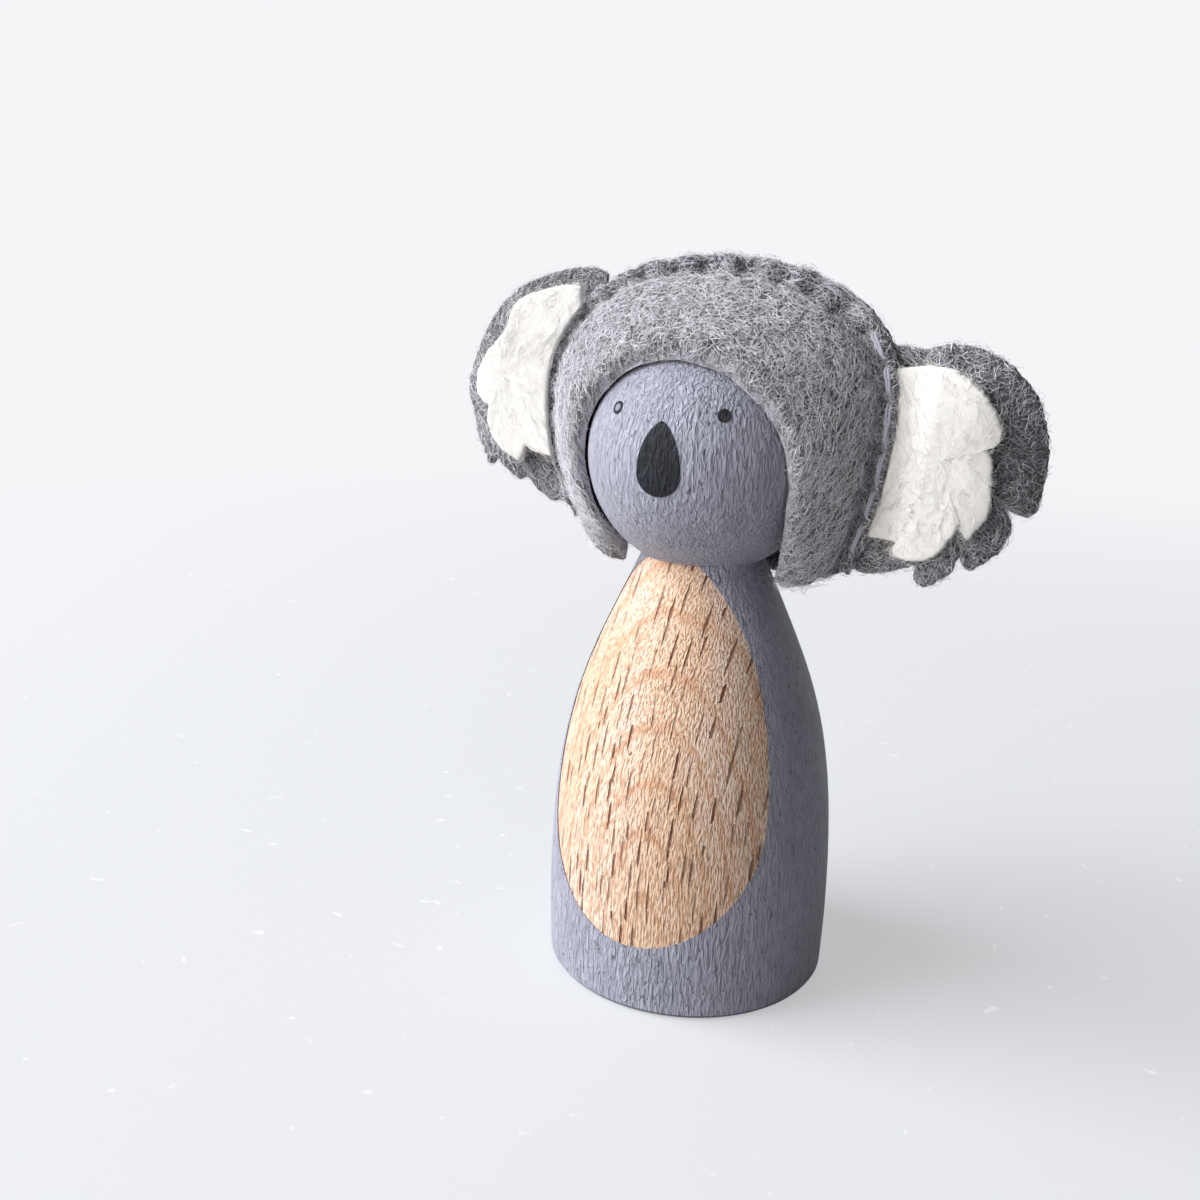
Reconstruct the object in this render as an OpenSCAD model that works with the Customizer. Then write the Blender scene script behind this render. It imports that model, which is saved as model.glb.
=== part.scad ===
// Peg doll: one turned beech peg with painted coat, belly window and face, and a
// sewn felt hood with two-layer ears. Millimetres, +Z up, face towards -Y,
// origin at the middle of the peg's base.

/* [Peg] */
// Largest diameter of the body
body_d = 35; // [25:0.5:50]
// Diameter of the foot, where the body meets the table
foot_d = 34.6; // [24:0.1:50]
// Height of the body's widest place
widest_z = 8.3; // [4:0.1:14]
// Diameter of the ball head
head_d = 28.1; // [20:0.1:36]
// Height of the middle of the ball head
head_z = 64.5; // [55:0.5:80]
// Radius at which the body runs into the ball
neck_r = 7.2; // [6:0.1:10]
// Rounding of the foot's edge
foot_edge = 0.6; // [0.2:0.1:1.5]
// How far the body's lower curve stays upright
belly_pull = 24.5; // [16:0.5:30]
// How far the body's upper curve follows the neck's slope
neck_pull = 16; // [8:0.5:22]
// Slope of the neck, in degrees from upright
neck_lean = 24; // [14:0.5:28]

/* [Paint] */
// Thickness of the painted coat
coat_t = 0.12; // [0.08:0.02:0.2]
// Thickness of the nose and eye paint on the coat
face_t = 0.08; // [0.06:0.02:0.12]
// Half width of the bare belly
belly_half_w = 13.6; // [8:0.1:15]
// Height of the bare belly's widest place
belly_z = 23; // [16:0.5:30]
// Drop of the bare belly below its widest place
belly_down = 14.5; // [8:0.5:16]
// Rise of the bare belly above its widest place
belly_up = 30.5; // [20:0.1:32]
// Half width of the nose
nose_half_w = 2.6; // [1.5:0.1:4]
// Height of the nose from tip to tip
nose_h = 8.2; // [4:0.1:10]
// Height of the nose's widest place above the head's middle
nose_z = -1; // [-3:0.1:2]
// Diameter of an eye
eye_d = 1.5; // [1:0.1:3]
// Angle of an eye to each side of the face's middle
eye_turn = 29; // [20:1:35]
// Angle of the eyes above the head's middle
eye_lift = 23.3; // [15:0.1:32]

/* [Hood] */
// Thickness of the felt
felt_t = 1.5; // [1:0.1:2.4]
// Air between the painted peg and the felt
rest_gap = 0.3; // [0.2:0.05:0.5]
// Lean of the hood to the doll's own left, in degrees
hood_roll = 4; // [0:0.5:5]
// Half width of the hood at its sewn rim
rim_half_w = 21.5; // [19:0.1:26]
// Height of the rim's widest place above the head's middle
rim_z = 5.3; // [2:0.1:8]
// Rise of the crown above the rim's widest place
rim_up = 16.9; // [14:0.1:22]
// Depth of the curve that takes the rim down to the hem
rim_down = 25; // [20:0.5:30]
// Angle round the rim from the crown to the hem
hem_angle = 130; // [124:1:134]
// Half width of the face opening at its inner lip
lip_half_w = 12.6; // [10:0.1:13.2]
// Height of the opening's widest place, below the head's middle
lip_z = -1.5; // [-3:0.1:0]
// Rise of the opening above its widest place
lip_up = 12.4; // [10:0.1:13]
// Depth of the curve that takes the opening down to the hem
lip_down = 18.7; // [16:0.1:22]
// Distance of the opening's lower right end in front of the seam
right_lip_y = 2.4; // [1.5:0.1:4]
// Distance of the opening's lower left end in front of the seam
left_lip_y = 4.6; // [3:0.1:6.5]
// Half width that the opening draws in to at its lower left, under the jaw
left_lip_w = 7.9; // [7.6:0.1:11]
// Swell of the front panel between lip and seam
front_swell = 2.2; // [0.5:0.1:4]
// Width of the two layers that lie flat together at the seam
seam_w = 2; // [1.6:0.1:3]
// Sag of the front hem between the rim and the lip
hem_sag = 1.4; // [0:0.1:2]
// Lowest point of the back hem, below the head's middle
nape_z = -13; // [-14:0.1:-11]
// Distance of the back hem behind the middle of the peg
nape_y = 12; // [10.5:0.1:14]
// Diameter of the sewing thread
thread_d = 0.5; // [0.3:0.05:0.8]
// Distance from one bite of the thread to the next
stitch = 4.4; // [3:0.1:7]
// Distance of the stitches inside the rim's edge
stitch_inset = 0.8; // [0.6:0.1:1.4]

/* [Ears] */
// Distance of each ear's flex line from the middle of the hood
flex_x = 22.4; // [20:0.1:27]
// Reach of the right ear past its flex line, laid flat
right_reach = 16; // [10:0.1:24]
// Height of the right ear
right_h = 26.4; // [18:0.1:32]
// Height of the right ear's middle above the head's middle
right_z = 2.3; // [-1:0.1:4]
// Reach of the left ear past its flex line, laid flat
left_reach = 12.3; // [10:0.1:24]
// Height of the left ear
left_h = 28.8; // [18:0.1:32]
// Height of the left ear's middle above the head's middle
left_z = 4.7; // [2:0.1:7]
// Flat stretch of an ear before it curls back
flat_reach = 6.5; // [4:0.1:12]
// Radius of an ear's backward curl
curl_r = 9; // [7:0.5:20]
// Gap between the rim's edge and the outer ear
root_gap = 0.45; // [0.3:0.05:0.8]
// Gap between the rim's edge and the inner ear
inner_root_gap = 1.5; // [1:0.1:3]
// Air between an outer ear and its inner ear
layer_gap = 0.15; // [0.1:0.05:0.3]

/* [Hidden] */

wood = "burlywood";
coat = "slategray";
ink = [0.13, 0.14, 0.16];
grey_felt = "darkgray";
white_felt = "ivory";
thread = "lightsteelblue";

// Counts of steps, and one overrun for every cut
curve_steps = 22;
foot_steps = 5;
outline_steps = 48;
rim_steps = 52;
panel_steps = 5;
back_steps = 60;
tube_sides = 6;
overrun = 5;
$fn = 96;

// Quarter-turn, half-turn and full-turn angles
quarter = 90;
half = 180;
full = 360;

body_r = body_d / 2;
foot_r = foot_d / 2;
head_r = head_d / 2;
clear_r = head_r + coat_t + rest_gap;
neck_z = head_z - sqrt(head_r * head_r - neck_r * neck_r);

// How sharply the front hem's sag fades above the hem
sag_power = 8;
// Angle below the opening's widest place at which its left side has drawn in under the jaw
jaw_angle = 30;
// Shares that shape the rim, the lip's sides, the belly and the nose
rim_corner_share = 0.8;
lip_side_share = 0.7;
belly_left_share = 0.8;
belly_right_share = 1.35;
nose_low_share = 0.3;
nose_top_share = 1.35;

// The peg's profile: a rounded foot, an arc to the widest place, and one smooth curve to the neck
function bezier(a, b, c, d, t) =
    a * pow(1 - t, 3) + b * 3 * pow(1 - t, 2) * t + c * 3 * (1 - t) * t * t + d * pow(t, 3);
function foot_arc(grow) = [
    for (i = [0 : foot_steps])
        let (a = -quarter + i * quarter / foot_steps)
            [foot_r - foot_edge + (foot_edge + grow) * cos(a), foot_edge + (foot_edge + grow) * sin(a)]
];
function side_curve(grow) = [
    for (i = [1 : curve_steps])
        let (t = i / curve_steps)
            bezier(
                [body_r, widest_z], [body_r, widest_z + belly_pull],
                [neck_r + neck_pull * sin(neck_lean), neck_z - neck_pull * cos(neck_lean)],
                [neck_r, neck_z], t
            ) + [grow, 0]
];
function low_curve(grow) = [
    for (i = [1 : foot_steps])
        let (t = i / foot_steps)
            [
                foot_r + grow + (body_r - foot_r) * sin(t * quarter),
                foot_edge + (widest_z - foot_edge) * t
            ]
];
function peg_outline(grow) = concat(
    [[0, 0], [foot_r - foot_edge, 0]],
    [for (p = foot_arc(0)) if (p[1] > 0) p + [grow, 0]],
    low_curve(grow),
    side_curve(grow),
    [[0, neck_z]]
);

// The belly window and the nose, as outlines seen from the front
function belly_outline() = [
    for (i = [0 : outline_steps - 1])
        let (a = i * full / outline_steps, c = cos(a), s = sin(a))
            s < 0
                ? [belly_half_w * c, belly_z + belly_down * s]
                : [
                    belly_half_w * sign(c) * pow(abs(c), c < 0 ? belly_left_share : belly_right_share),
                    belly_z + belly_up * s
                ]
];
function nose_outline() = [
    for (i = [0 : outline_steps - 1])
        let (a = i * full / outline_steps, c = cos(a), s = sin(a))
            s < 0
                ? [nose_half_w * c, nose_z + nose_h * nose_low_share * s]
                : [
                    nose_half_w * sign(c) * pow(abs(c), nose_top_share),
                    nose_z + nose_h * (1 - nose_low_share) * s
                ]
];

// The hood's curves, in its own frame: the head's middle is the origin, y runs back
function rim_xz(a) = abs(a) <= quarter
    ? [
        rim_half_w * sign(a) * pow(abs(sin(a)), rim_corner_share),
        rim_z + rim_up * pow(abs(cos(a)), rim_corner_share)
    ]
    : [rim_half_w * sign(a) * cos(abs(a) - quarter), rim_z - rim_down * sin(abs(a) - quarter)];
function lip_side_x(over) = lip_half_w * cos(over * lip_side_share);
function lip_jaw_x(over) =
    left_lip_w + (lip_half_w - left_lip_w) * cos(min(over / jaw_angle, 1) * quarter);
function lip_xz(a) = abs(a) <= quarter
    ? [lip_half_w * sin(a), lip_z + lip_up * cos(a)]
    : let (over = abs(a) - quarter)
        [a < 0 ? -lip_jaw_x(over) : lip_side_x(over), lip_z - lip_down * sin(over)];
lip_side_y = -sqrt(clear_r * clear_r - lip_half_w * lip_half_w - lip_z * lip_z);
function lip_fit_y(a) = -sqrt(max(clear_r * clear_r - pow(norm(lip_xz(a)), 2), 0));
function lip_y(a) = abs(a) <= quarter
    ? lip_fit_y(a)
    : a < 0
        ? min(lip_fit_y(a), -left_lip_y)
        : (lip_side_y + right_lip_y) * cos((a - quarter) * quarter / (hem_angle - quarter)) - right_lip_y;
function unit(v) = v / norm(v);
function at(xz, y) = [xz[0], y, xz[1]];
function outwards(a) = unit(rim_xz(a) - [0, rim_z]);
function inside_rim(a, d) = rim_xz(a) - outwards(a) * d;

// A closed sheet of felt: two faces of points, row by row, joined round their edge
module sheet(inner, outer) {
    rows = len(inner);
    cols = len(inner[0]);
    last = cols - 1;
    total = rows * cols;
    points = concat([for (r = inner) each r], [for (r = outer) each r]);
    function id(i, j, top) = i * cols + j + (top ? total : 0);
    face_tris = [
        for (i = [0 : rows - 2])
            for (j = [0 : cols - 2])
                each [
                    [id(i, j, false), id(i + 1, j, false), id(i, j + 1, false)],
                    [id(i + 1, j, false), id(i + 1, j + 1, false), id(i, j + 1, false)],
                    [id(i, j, true), id(i, j + 1, true), id(i + 1, j, true)],
                    [id(i + 1, j, true), id(i, j + 1, true), id(i + 1, j + 1, true)]
                ]
    ];
    side_tris = [
        for (i = [0 : rows - 2])
            each [
                [id(i, 0, false), id(i, 0, true), id(i + 1, 0, false)],
                [id(i + 1, 0, false), id(i, 0, true), id(i + 1, 0, true)],
                [id(i, last, false), id(i + 1, last, false), id(i, last, true)],
                [id(i + 1, last, false), id(i + 1, last, true), id(i, last, true)]
            ]
    ];
    end_tris = [
        for (j = [0 : cols - 2])
            each [
                [id(0, j, false), id(0, j + 1, false), id(0, j, true)],
                [id(0, j + 1, false), id(0, j + 1, true), id(0, j, true)],
                [id(rows - 1, j, false), id(rows - 1, j, true), id(rows - 1, j + 1, false)],
                [id(rows - 1, j + 1, false), id(rows - 1, j, true), id(rows - 1, j + 1, true)]
            ]
    ];
    polyhedron(points, concat(face_tris, side_tris, end_tris));
}

// A closed disc of felt: rings from the edge to a middle point, on two faces
module disc(inner, outer, inner_mid, outer_mid) {
    rings = len(inner);
    n = len(inner[0]);
    mid = rings * n;
    total = mid + 1;
    points = concat([for (r = inner) each r], [inner_mid], [for (r = outer) each r], [outer_mid]);
    function id(i, j, top) = i * n + j % n + (top ? total : 0);
    ring_tris = [
        for (i = [0 : 1 : rings - 2])
            for (j = [0 : n - 1])
                each [
                    [id(i, j, false), id(i + 1, j, false), id(i, j + 1, false)],
                    [id(i + 1, j, false), id(i + 1, j + 1, false), id(i, j + 1, false)],
                    [id(i, j, true), id(i, j + 1, true), id(i + 1, j, true)],
                    [id(i + 1, j, true), id(i, j + 1, true), id(i + 1, j + 1, true)]
                ]
    ];
    mid_tris = [
        for (j = [0 : n - 1])
            each [
                [id(rings - 1, j, false), mid, id(rings - 1, j + 1, false)],
                [id(rings - 1, j, true), id(rings - 1, j + 1, true), mid + total]
            ]
    ];
    edge_tris = [
        for (j = [0 : n - 1])
            each [
                [id(0, j, false), id(0, j + 1, false), id(0, j, true)],
                [id(0, j + 1, false), id(0, j + 1, true), id(0, j, true)]
            ]
    ];
    polyhedron(points, concat(ring_tris, mid_tris, edge_tris));
}

// Front panel: its section runs from the rim's edge over the flat seam to the lip
function seam_point(a) = at(inside_rim(a, seam_w), 0);
function lip_point(a) = at(lip_xz(a), lip_y(a));
function panel_normal(a) =
    let (d = seam_point(a) - lip_point(a), run = norm([d[0], d[2]]), e = [d[0], 0, d[2]] / run)
        unit(e * d[1] - [0, run, 0]);
function sag_at(a, t) = [0, 0, -hem_sag * 4 * t * (1 - t) * pow(abs(a) / hem_angle, sag_power)];
function swell_point(a, t) =
    let (c = (seam_point(a) + lip_point(a)) / 2 + panel_normal(a) * front_swell)
        seam_point(a) * pow(1 - t, 2) + c * 2 * t * (1 - t) + lip_point(a) * t * t + sag_at(a, t);
function front_inner(a) = concat(
    [at(rim_xz(a), 0)],
    [for (i = [0 : panel_steps]) swell_point(a, i / panel_steps)]
);
function front_outer(a) = concat(
    [at(rim_xz(a), -felt_t)],
    [for (i = [0 : panel_steps])
        let (t = i / panel_steps, n = panel_normal(a), lean = min(t * panel_steps, 1))
            swell_point(a, t) + unit(n * (1 + lean) - [0, 1 - lean, 0]) * felt_t]
);
rim_angles = [for (i = [0 : rim_steps]) -hem_angle + i * 2 * hem_angle / rim_steps];

// Back panel: rings from the rim and the back hem to the back of the head, over one smooth dome
back_ring_shares = [0, 0.05, 0.13, 0.25, 0.4, 0.58, 0.78];
hem_end = rim_xz(hem_angle);
back_mid = [0, 0];
back_mid_y = clear_r;
probe = 0.01;
function on_hem(b) = abs(b) > hem_angle;
function hem_part(b) = (half - abs(b)) / (half - hem_angle);
function edge_xz(b) = on_hem(b)
    ? [sign(b) * hem_end[0] * hem_part(b), nape_z + (hem_end[1] - nape_z) * pow(hem_part(b), 2)]
    : rim_xz(b);
// Half width of the rim and depth of the dome's middle line, at a height
function rim_half_at(z) = z > rim_z
    ? rim_half_w * pow(max(1 - pow((z - rim_z) / rim_up, 2 / rim_corner_share), 0), rim_corner_share / 2)
    : rim_half_w * sqrt(max(1 - pow((rim_z - z) / rim_down, 2), 0));
function middle_depth(z) = z > back_mid[1]
    ? back_mid_y * sqrt(max(1 - pow((z - back_mid[1]) / (rim_z + rim_up - back_mid[1]), 2), 0))
    : back_mid_y - (back_mid_y - nape_y) * pow((back_mid[1] - z) / (back_mid[1] - nape_z), 2);
function depth(p) = middle_depth(p[1]) * sqrt(max(1 - pow(p[0] / max(rim_half_at(p[1]), probe), 2), 0));
function edge_y(b) = on_hem(b) ? depth(edge_xz(b)) : 0;
function inset_of(b) = on_hem(b) ? seam_w * hem_part(b) : seam_w;
function radial(b) = unit(edge_xz(b) - back_mid);
function dome_xz(b, w) =
    let (e = edge_xz(b), inset = radial(b) * inset_of(b))
        e - inset - (e - back_mid - inset) * w;
function dome_point(b, w) =
    let (e = edge_xz(b))
        at(dome_xz(b, w), depth(e - (e - back_mid) * w));
function dome_normal(b, w) =
    unit(cross(
        dome_point(b + probe, w) - dome_point(b - probe, w),
        dome_point(b, w + probe) - dome_point(b, w - probe)
    ));
function back_angles() = [for (i = [0 : back_steps - 1]) -half + (i + 1 / 2) * full / back_steps];
function back_inner_ring(w) = [for (b = back_angles()) dome_point(b, w)];
function back_outer_ring(w) = [for (b = back_angles()) dome_point(b, w) + dome_normal(b, w) * felt_t];
function back_edge(y) = [for (b = back_angles()) at(edge_xz(b), edge_y(b) + y)];
// The felt bends up just inside the stitches, which leaves a flat edge for them
bend_out = seam_w - stitch_inset - thread_d / 2;
function back_seam_outer() = [
    for (b = back_angles())
        dome_point(b, 0) + [0, felt_t, 0] + at(radial(b), 0) * bend_out * (on_hem(b) ? hem_part(b) : 1)
];

// The seam's thread: it runs on the front panel and dips through both layers at each bite
thread_line_y = felt_t + thread_d / 2;
bite_shares = [[0.12, -1], [0.5, -1], [0.8, -1], [0.86, 0], [0.9, 1], [0.96, 1], [1.02, 0]];
thread_turn = hem_angle - asin(stitch / rim_half_w);
thread_run = 2 * thread_turn / half * PI * (rim_half_w + rim_up) / 2;
stitches = round(thread_run / stitch);
function thread_point(k, bite) =
    let (a = -thread_turn + (k + bite[0]) * 2 * thread_turn / stitches)
        at(inside_rim(a, stitch_inset), thread_line_y * bite[1]);
thread_path = [for (k = [0 : stitches - 1]) for (bite = bite_shares) thread_point(k, bite)];

function tangent(path, i) = unit(path[min(i + 1, len(path) - 1)] - path[max(i - 1, 0)]);
function ring_at(path, i, r) =
    let (t = tangent(path, i), u = unit(cross(t, outwards_at(path[i]))), v = cross(u, t))
        [
            for (k = [0 : tube_sides - 1])
                let (a = k * full / tube_sides)
                    path[i] + (u * cos(a) + v * sin(a)) * r
        ];
function outwards_at(p) = unit([p[0], 0, p[2] - rim_z]);
module tube(path, r) {
    rings = [for (i = [0 : len(path) - 1]) ring_at(path, i, r)];
    n = len(path);
    last = n * tube_sides;
    points = concat([for (ring = rings) each ring], [path[0], path[n - 1]]);
    walls = [
        for (i = [0 : n - 2])
            for (k = [0 : tube_sides - 1])
                let (m = (k + 1) % tube_sides, a = i * tube_sides, b = a + tube_sides)
                    each [[a + k, a + m, b + k], [a + m, b + m, b + k]]
    ];
    ends = [
        for (k = [0 : tube_sides - 1])
            let (m = (k + 1) % tube_sides, b = last - tube_sides)
                each [[last, m, k], [last + 1, b + k, b + m]]
    ];
    polyhedron(points, concat(walls, ends));
}

// Ears: flat outlines as shares of reach and half height, from the root's top round to its foot
right_outer_shares = [
    [0.05, 0.93], [0.17, 0.98], [0.30, 1.0], [0.42, 0.985], [0.54, 0.93], [0.645, 0.855],
    [0.76, 0.73], [0.855, 0.59], [0.925, 0.43], [0.975, 0.27], [1.0, 0.12], [1.0, -0.08],
    [0.995, -0.19], [0.965, -0.27], [0.91, -0.31], [0.82, -0.275], [0.745, -0.235], [0.785, -0.35],
    [0.79, -0.47], [0.745, -0.605], [0.68, -0.7], [0.57, -0.785], [0.505, -0.68], [0.465, -0.81],
    [0.40, -0.91], [0.305, -1.0], [0.235, -0.94], [0.22, -0.83], [0.125, -0.88], [0.0, -0.95],
    [-0.13, -0.985]
];
right_inner_shares = [
    [0.085, 0.81], [0.205, 0.825], [0.30, 0.81], [0.405, 0.75], [0.505, 0.65], [0.58, 0.545],
    [0.63, 0.43], [0.65, 0.355], [0.63, 0.27], [0.565, 0.225], [0.615, 0.17], [0.635, 0.0],
    [0.655, -0.165], [0.645, -0.29], [0.60, -0.415], [0.54, -0.505], [0.48, -0.395], [0.455, -0.495],
    [0.385, -0.66], [0.295, -0.74], [0.205, -0.77], [0.09, -0.775], [0.06, -0.72], [0.07, -0.655],
    [-0.01, -0.645]
];
left_outer_shares = [
    [-0.40, 0.95], [-0.345, 0.985], [-0.27, 1.0], [-0.10, 0.98], [0.12, 0.915], [0.34, 0.82],
    [0.515, 0.69], [0.665, 0.52], [0.80, 0.32], [0.91, 0.14], [1.0, -0.05], [0.985, -0.2],
    [0.90, -0.285], [0.86, -0.37], [0.80, -0.50], [0.70, -0.62], [0.60, -0.755], [0.525, -0.68],
    [0.43, -0.75], [0.30, -0.81], [0.22, -0.845], [0.16, -0.80], [0.03, -0.91], [-0.15, -0.98]
];
left_inner_shares = [
    [-0.19, 0.835], [-0.03, 0.815], [0.145, 0.765], [0.30, 0.70], [0.375, 0.57], [0.385, 0.50],
    [0.47, 0.395], [0.61, 0.255], [0.73, 0.075], [0.73, -0.105], [0.65, -0.205], [0.575, -0.225],
    [0.565, -0.39], [0.47, -0.515], [0.34, -0.605], [0.165, -0.65], [0.095, -0.52], [0.02, -0.55]
];
ear_ring_shares = [0, 0.18, 0.4, 0.62, 0.82];
right_mid_share = [0.3, 0.09];
left_mid_share = [0.4, 0.06];
root_steps = 10;

// An ear's root follows the rim between two heights, a gap outside its edge
function rim_turn_at(z) = z > rim_z
    ? acos(pow(min((z - rim_z) / rim_up, 1), 1 / rim_corner_share))
    : quarter + asin(min((rim_z - z) / rim_down, 1));
function root_edge(top, foot, gap) = [
    for (i = [0 : root_steps])
        let (
            from = rim_turn_at(foot),
            a = from + (rim_turn_at(top) - from) * i / root_steps,
            p = rim_xz(a) + outwards(a) * gap
        )
            [p[0] - flex_x, p[1]]
];
function ear_edge(shares, reach, h, z, gap, root_shares) = concat(
    [for (s = shares) [s[0] * reach, z + s[1] * h / 2]],
    root_edge(z + root_shares[0] * h / 2, z + root_shares[1] * h / 2, gap)
);
// Flat felt taken round the backward curl; d is the distance behind the ear's middle plane
function curled(p, d, layer_d) = p[0] <= flat_reach
    ? [flex_x + p[0], d, p[1]]
    : let (a = (p[0] - flat_reach) / (curl_r - layer_d) / PI * half)
        [flex_x + flat_reach + (curl_r - d) * sin(a), curl_r - (curl_r - d) * cos(a), p[1]];
function ear_mid(share, reach, h, z) = [share[0] * reach, z + share[1] * h / 2];
module ear(edge, mid, near, far) {
    layer_d = (near + far) / 2;
    function ring(w, d) = [for (p = edge) curled(p + (mid - p) * w, d, layer_d)];
    disc(
        [for (w = ear_ring_shares) ring(w, far)],
        [for (w = ear_ring_shares) ring(w, near)],
        curled(mid, far, layer_d), curled(mid, near, layer_d)
    );
}
outer_near = -felt_t / 2;
outer_far = felt_t / 2;
inner_far = outer_near - layer_gap;
inner_near = inner_far - felt_t;
outer_root_shares = [[0.94, -0.96], [0.80, -0.97]];
inner_root_shares = [[0.76, -0.65], [0.68, -0.58]];

// The hood stands on the head's middle and leans a little
module on_head() {
    translate([0, 0, head_z]) rotate([0, hood_roll, 0]) children();
}
module mirror_left() {
    mirror([1, 0, 0]) children();
}

module peg() {
    color(wood) {
        rotate_extrude() polygon(peg_outline(0));
        translate([0, 0, head_z]) sphere(head_r);
    }
}

module front_prism(outline) {
    rotate([quarter, 0, 0]) linear_extrude(body_r + overrun) polygon(outline);
}

module coat_paint() {
    color(coat) difference() {
        union() {
            difference() {
                rotate_extrude() polygon(peg_outline(coat_t));
                front_prism(belly_outline());
            }
            translate([0, 0, head_z]) sphere(head_r + coat_t);
        }
        peg();
        translate([0, 0, -overrun]) cylinder(h = overrun + foot_edge, r = body_r + overrun);
    }
}

module face_film() {
    difference() {
        sphere(head_r + coat_t + face_t);
        sphere(head_r + coat_t);
    }
}

module nose_paint() {
    color(ink) translate([0, 0, head_z]) intersection() {
        face_film();
        front_prism(nose_outline());
    }
}

module eye_paint() {
    color(ink) translate([0, 0, head_z]) for (side = [-1, 1]) intersection() {
        face_film();
        rotate([0, 0, side * eye_turn])
            rotate([quarter - eye_lift, 0, 0])
                cylinder(h = head_d, d = eye_d);
    }
}

module hood_front_panel() {
    color(grey_felt) on_head() sheet(
        [for (a = rim_angles) front_inner(a)],
        [for (a = rim_angles) front_outer(a)]
    );
}

module hood_back_panel() {
    color(grey_felt) on_head() disc(
        concat([back_edge(0)], [for (w = back_ring_shares) back_inner_ring(w)]),
        concat(
            [back_edge(felt_t), back_seam_outer()],
            [for (w = back_ring_shares) if (w > 0) back_outer_ring(w)]
        ),
        at(back_mid, back_mid_y), at(back_mid, back_mid_y + felt_t)
    );
}

module rim_seam_thread() {
    color(thread) on_head() tube(thread_path, thread_d / 2);
}

module ear_outer_right() {
    color(grey_felt) on_head() ear(
        ear_edge(right_outer_shares, right_reach, right_h, right_z, root_gap, outer_root_shares[0]),
        ear_mid(right_mid_share, right_reach, right_h, right_z), outer_near, outer_far
    );
}

module ear_inner_right() {
    color(white_felt) on_head() ear(
        ear_edge(right_inner_shares, right_reach, right_h, right_z, inner_root_gap, inner_root_shares[0]),
        ear_mid(right_mid_share, right_reach, right_h, right_z), inner_near, inner_far
    );
}

module ear_outer_left() {
    color(grey_felt) on_head() mirror_left() ear(
        ear_edge(left_outer_shares, left_reach, left_h, left_z, root_gap, outer_root_shares[1]),
        ear_mid(left_mid_share, left_reach, left_h, left_z), outer_near, outer_far
    );
}

module ear_inner_left() {
    color(white_felt) on_head() mirror_left() ear(
        ear_edge(left_inner_shares, left_reach, left_h, left_z, inner_root_gap, inner_root_shares[1]),
        ear_mid(left_mid_share, left_reach, left_h, left_z), inner_near, inner_far
    );
}

peg();
coat_paint();
nose_paint();
eye_paint();
hood_front_panel();
hood_back_panel();
rim_seam_thread();
ear_outer_right();
ear_inner_right();
ear_outer_left();
ear_inner_left();
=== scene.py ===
"""The looks of a turned peg doll in a sewn felt hood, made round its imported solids.

Lengths are in millimetres in the doll's own frame until a mesh is made, which is in metres.
"""

from __future__ import annotations

import itertools
import logging
from dataclasses import dataclass, field, replace
from enum import Enum
from typing import Callable

import bpy
import numpy as np
from mathutils import Matrix, Vector

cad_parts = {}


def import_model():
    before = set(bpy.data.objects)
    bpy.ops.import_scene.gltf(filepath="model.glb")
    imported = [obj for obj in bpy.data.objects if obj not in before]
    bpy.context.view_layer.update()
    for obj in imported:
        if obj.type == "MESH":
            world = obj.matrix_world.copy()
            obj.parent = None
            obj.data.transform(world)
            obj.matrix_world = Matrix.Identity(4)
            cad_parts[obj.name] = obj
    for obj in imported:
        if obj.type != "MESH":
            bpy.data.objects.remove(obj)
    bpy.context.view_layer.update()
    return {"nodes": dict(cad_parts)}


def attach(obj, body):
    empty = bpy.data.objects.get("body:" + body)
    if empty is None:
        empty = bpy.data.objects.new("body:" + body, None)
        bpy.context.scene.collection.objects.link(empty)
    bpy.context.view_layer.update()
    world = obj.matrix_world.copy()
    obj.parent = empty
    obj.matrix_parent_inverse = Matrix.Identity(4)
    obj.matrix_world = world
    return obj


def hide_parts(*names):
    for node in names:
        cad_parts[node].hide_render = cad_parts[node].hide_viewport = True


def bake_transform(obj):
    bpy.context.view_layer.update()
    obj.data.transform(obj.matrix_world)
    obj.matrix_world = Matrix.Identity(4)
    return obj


LOG = logging.getLogger("peg_doll")
MM = 0.001

# The body that the hood's pieces ride on, and the way to the doll's back
HOOD = "hood"
BACK = np.array([0.0, 1.0, 0.0])

# Points of an ear's edge, and what weighs places on a sheet by their points and normals
Shares = tuple[tuple[float, float], ...]
Weigh = Callable[[np.ndarray, np.ndarray], np.ndarray]


class Side(Enum):
    """A side of the hood, by the sign of its x."""

    RIGHT = 1
    LEFT = -1

    @property
    def word(self) -> str:
        """The side's name in the pieces' names."""
        return self.name.lower()


class Layer(Enum):
    """One of an ear's two layers of felt, by its name in the pieces' names."""

    OUTER = "outer"
    INNER = "inner"


# Small tools


def linear(code: str) -> tuple[float, float, float, float]:
    """Turn an sRGB hex colour into linear red, green, blue and alpha.

    Args:
        code: Six hex digits after a hash.

    Returns:
        The four linear channels that a shader socket takes.
    """
    channels = [int(code[i : i + 2], 16) / 255 for i in (1, 3, 5)]
    made = [c / 12.92 if c <= 0.04045 else ((c + 0.055) / 1.055) ** 2.4 for c in channels]
    return (made[0], made[1], made[2], 1.0)


def unit(vectors: np.ndarray) -> np.ndarray:
    """Scale vectors, held along the last axis, to length 1."""
    return vectors / np.maximum(np.linalg.norm(vectors, axis=-1, keepdims=True), 1e-12)


def smoothstep(low: float, high: float, value: np.ndarray) -> np.ndarray:
    """Ease a value from 0 at low to 1 at high."""
    t = np.clip((value - low) / (high - low), 0, 1)
    return t * t * (3 - 2 * t)


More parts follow.
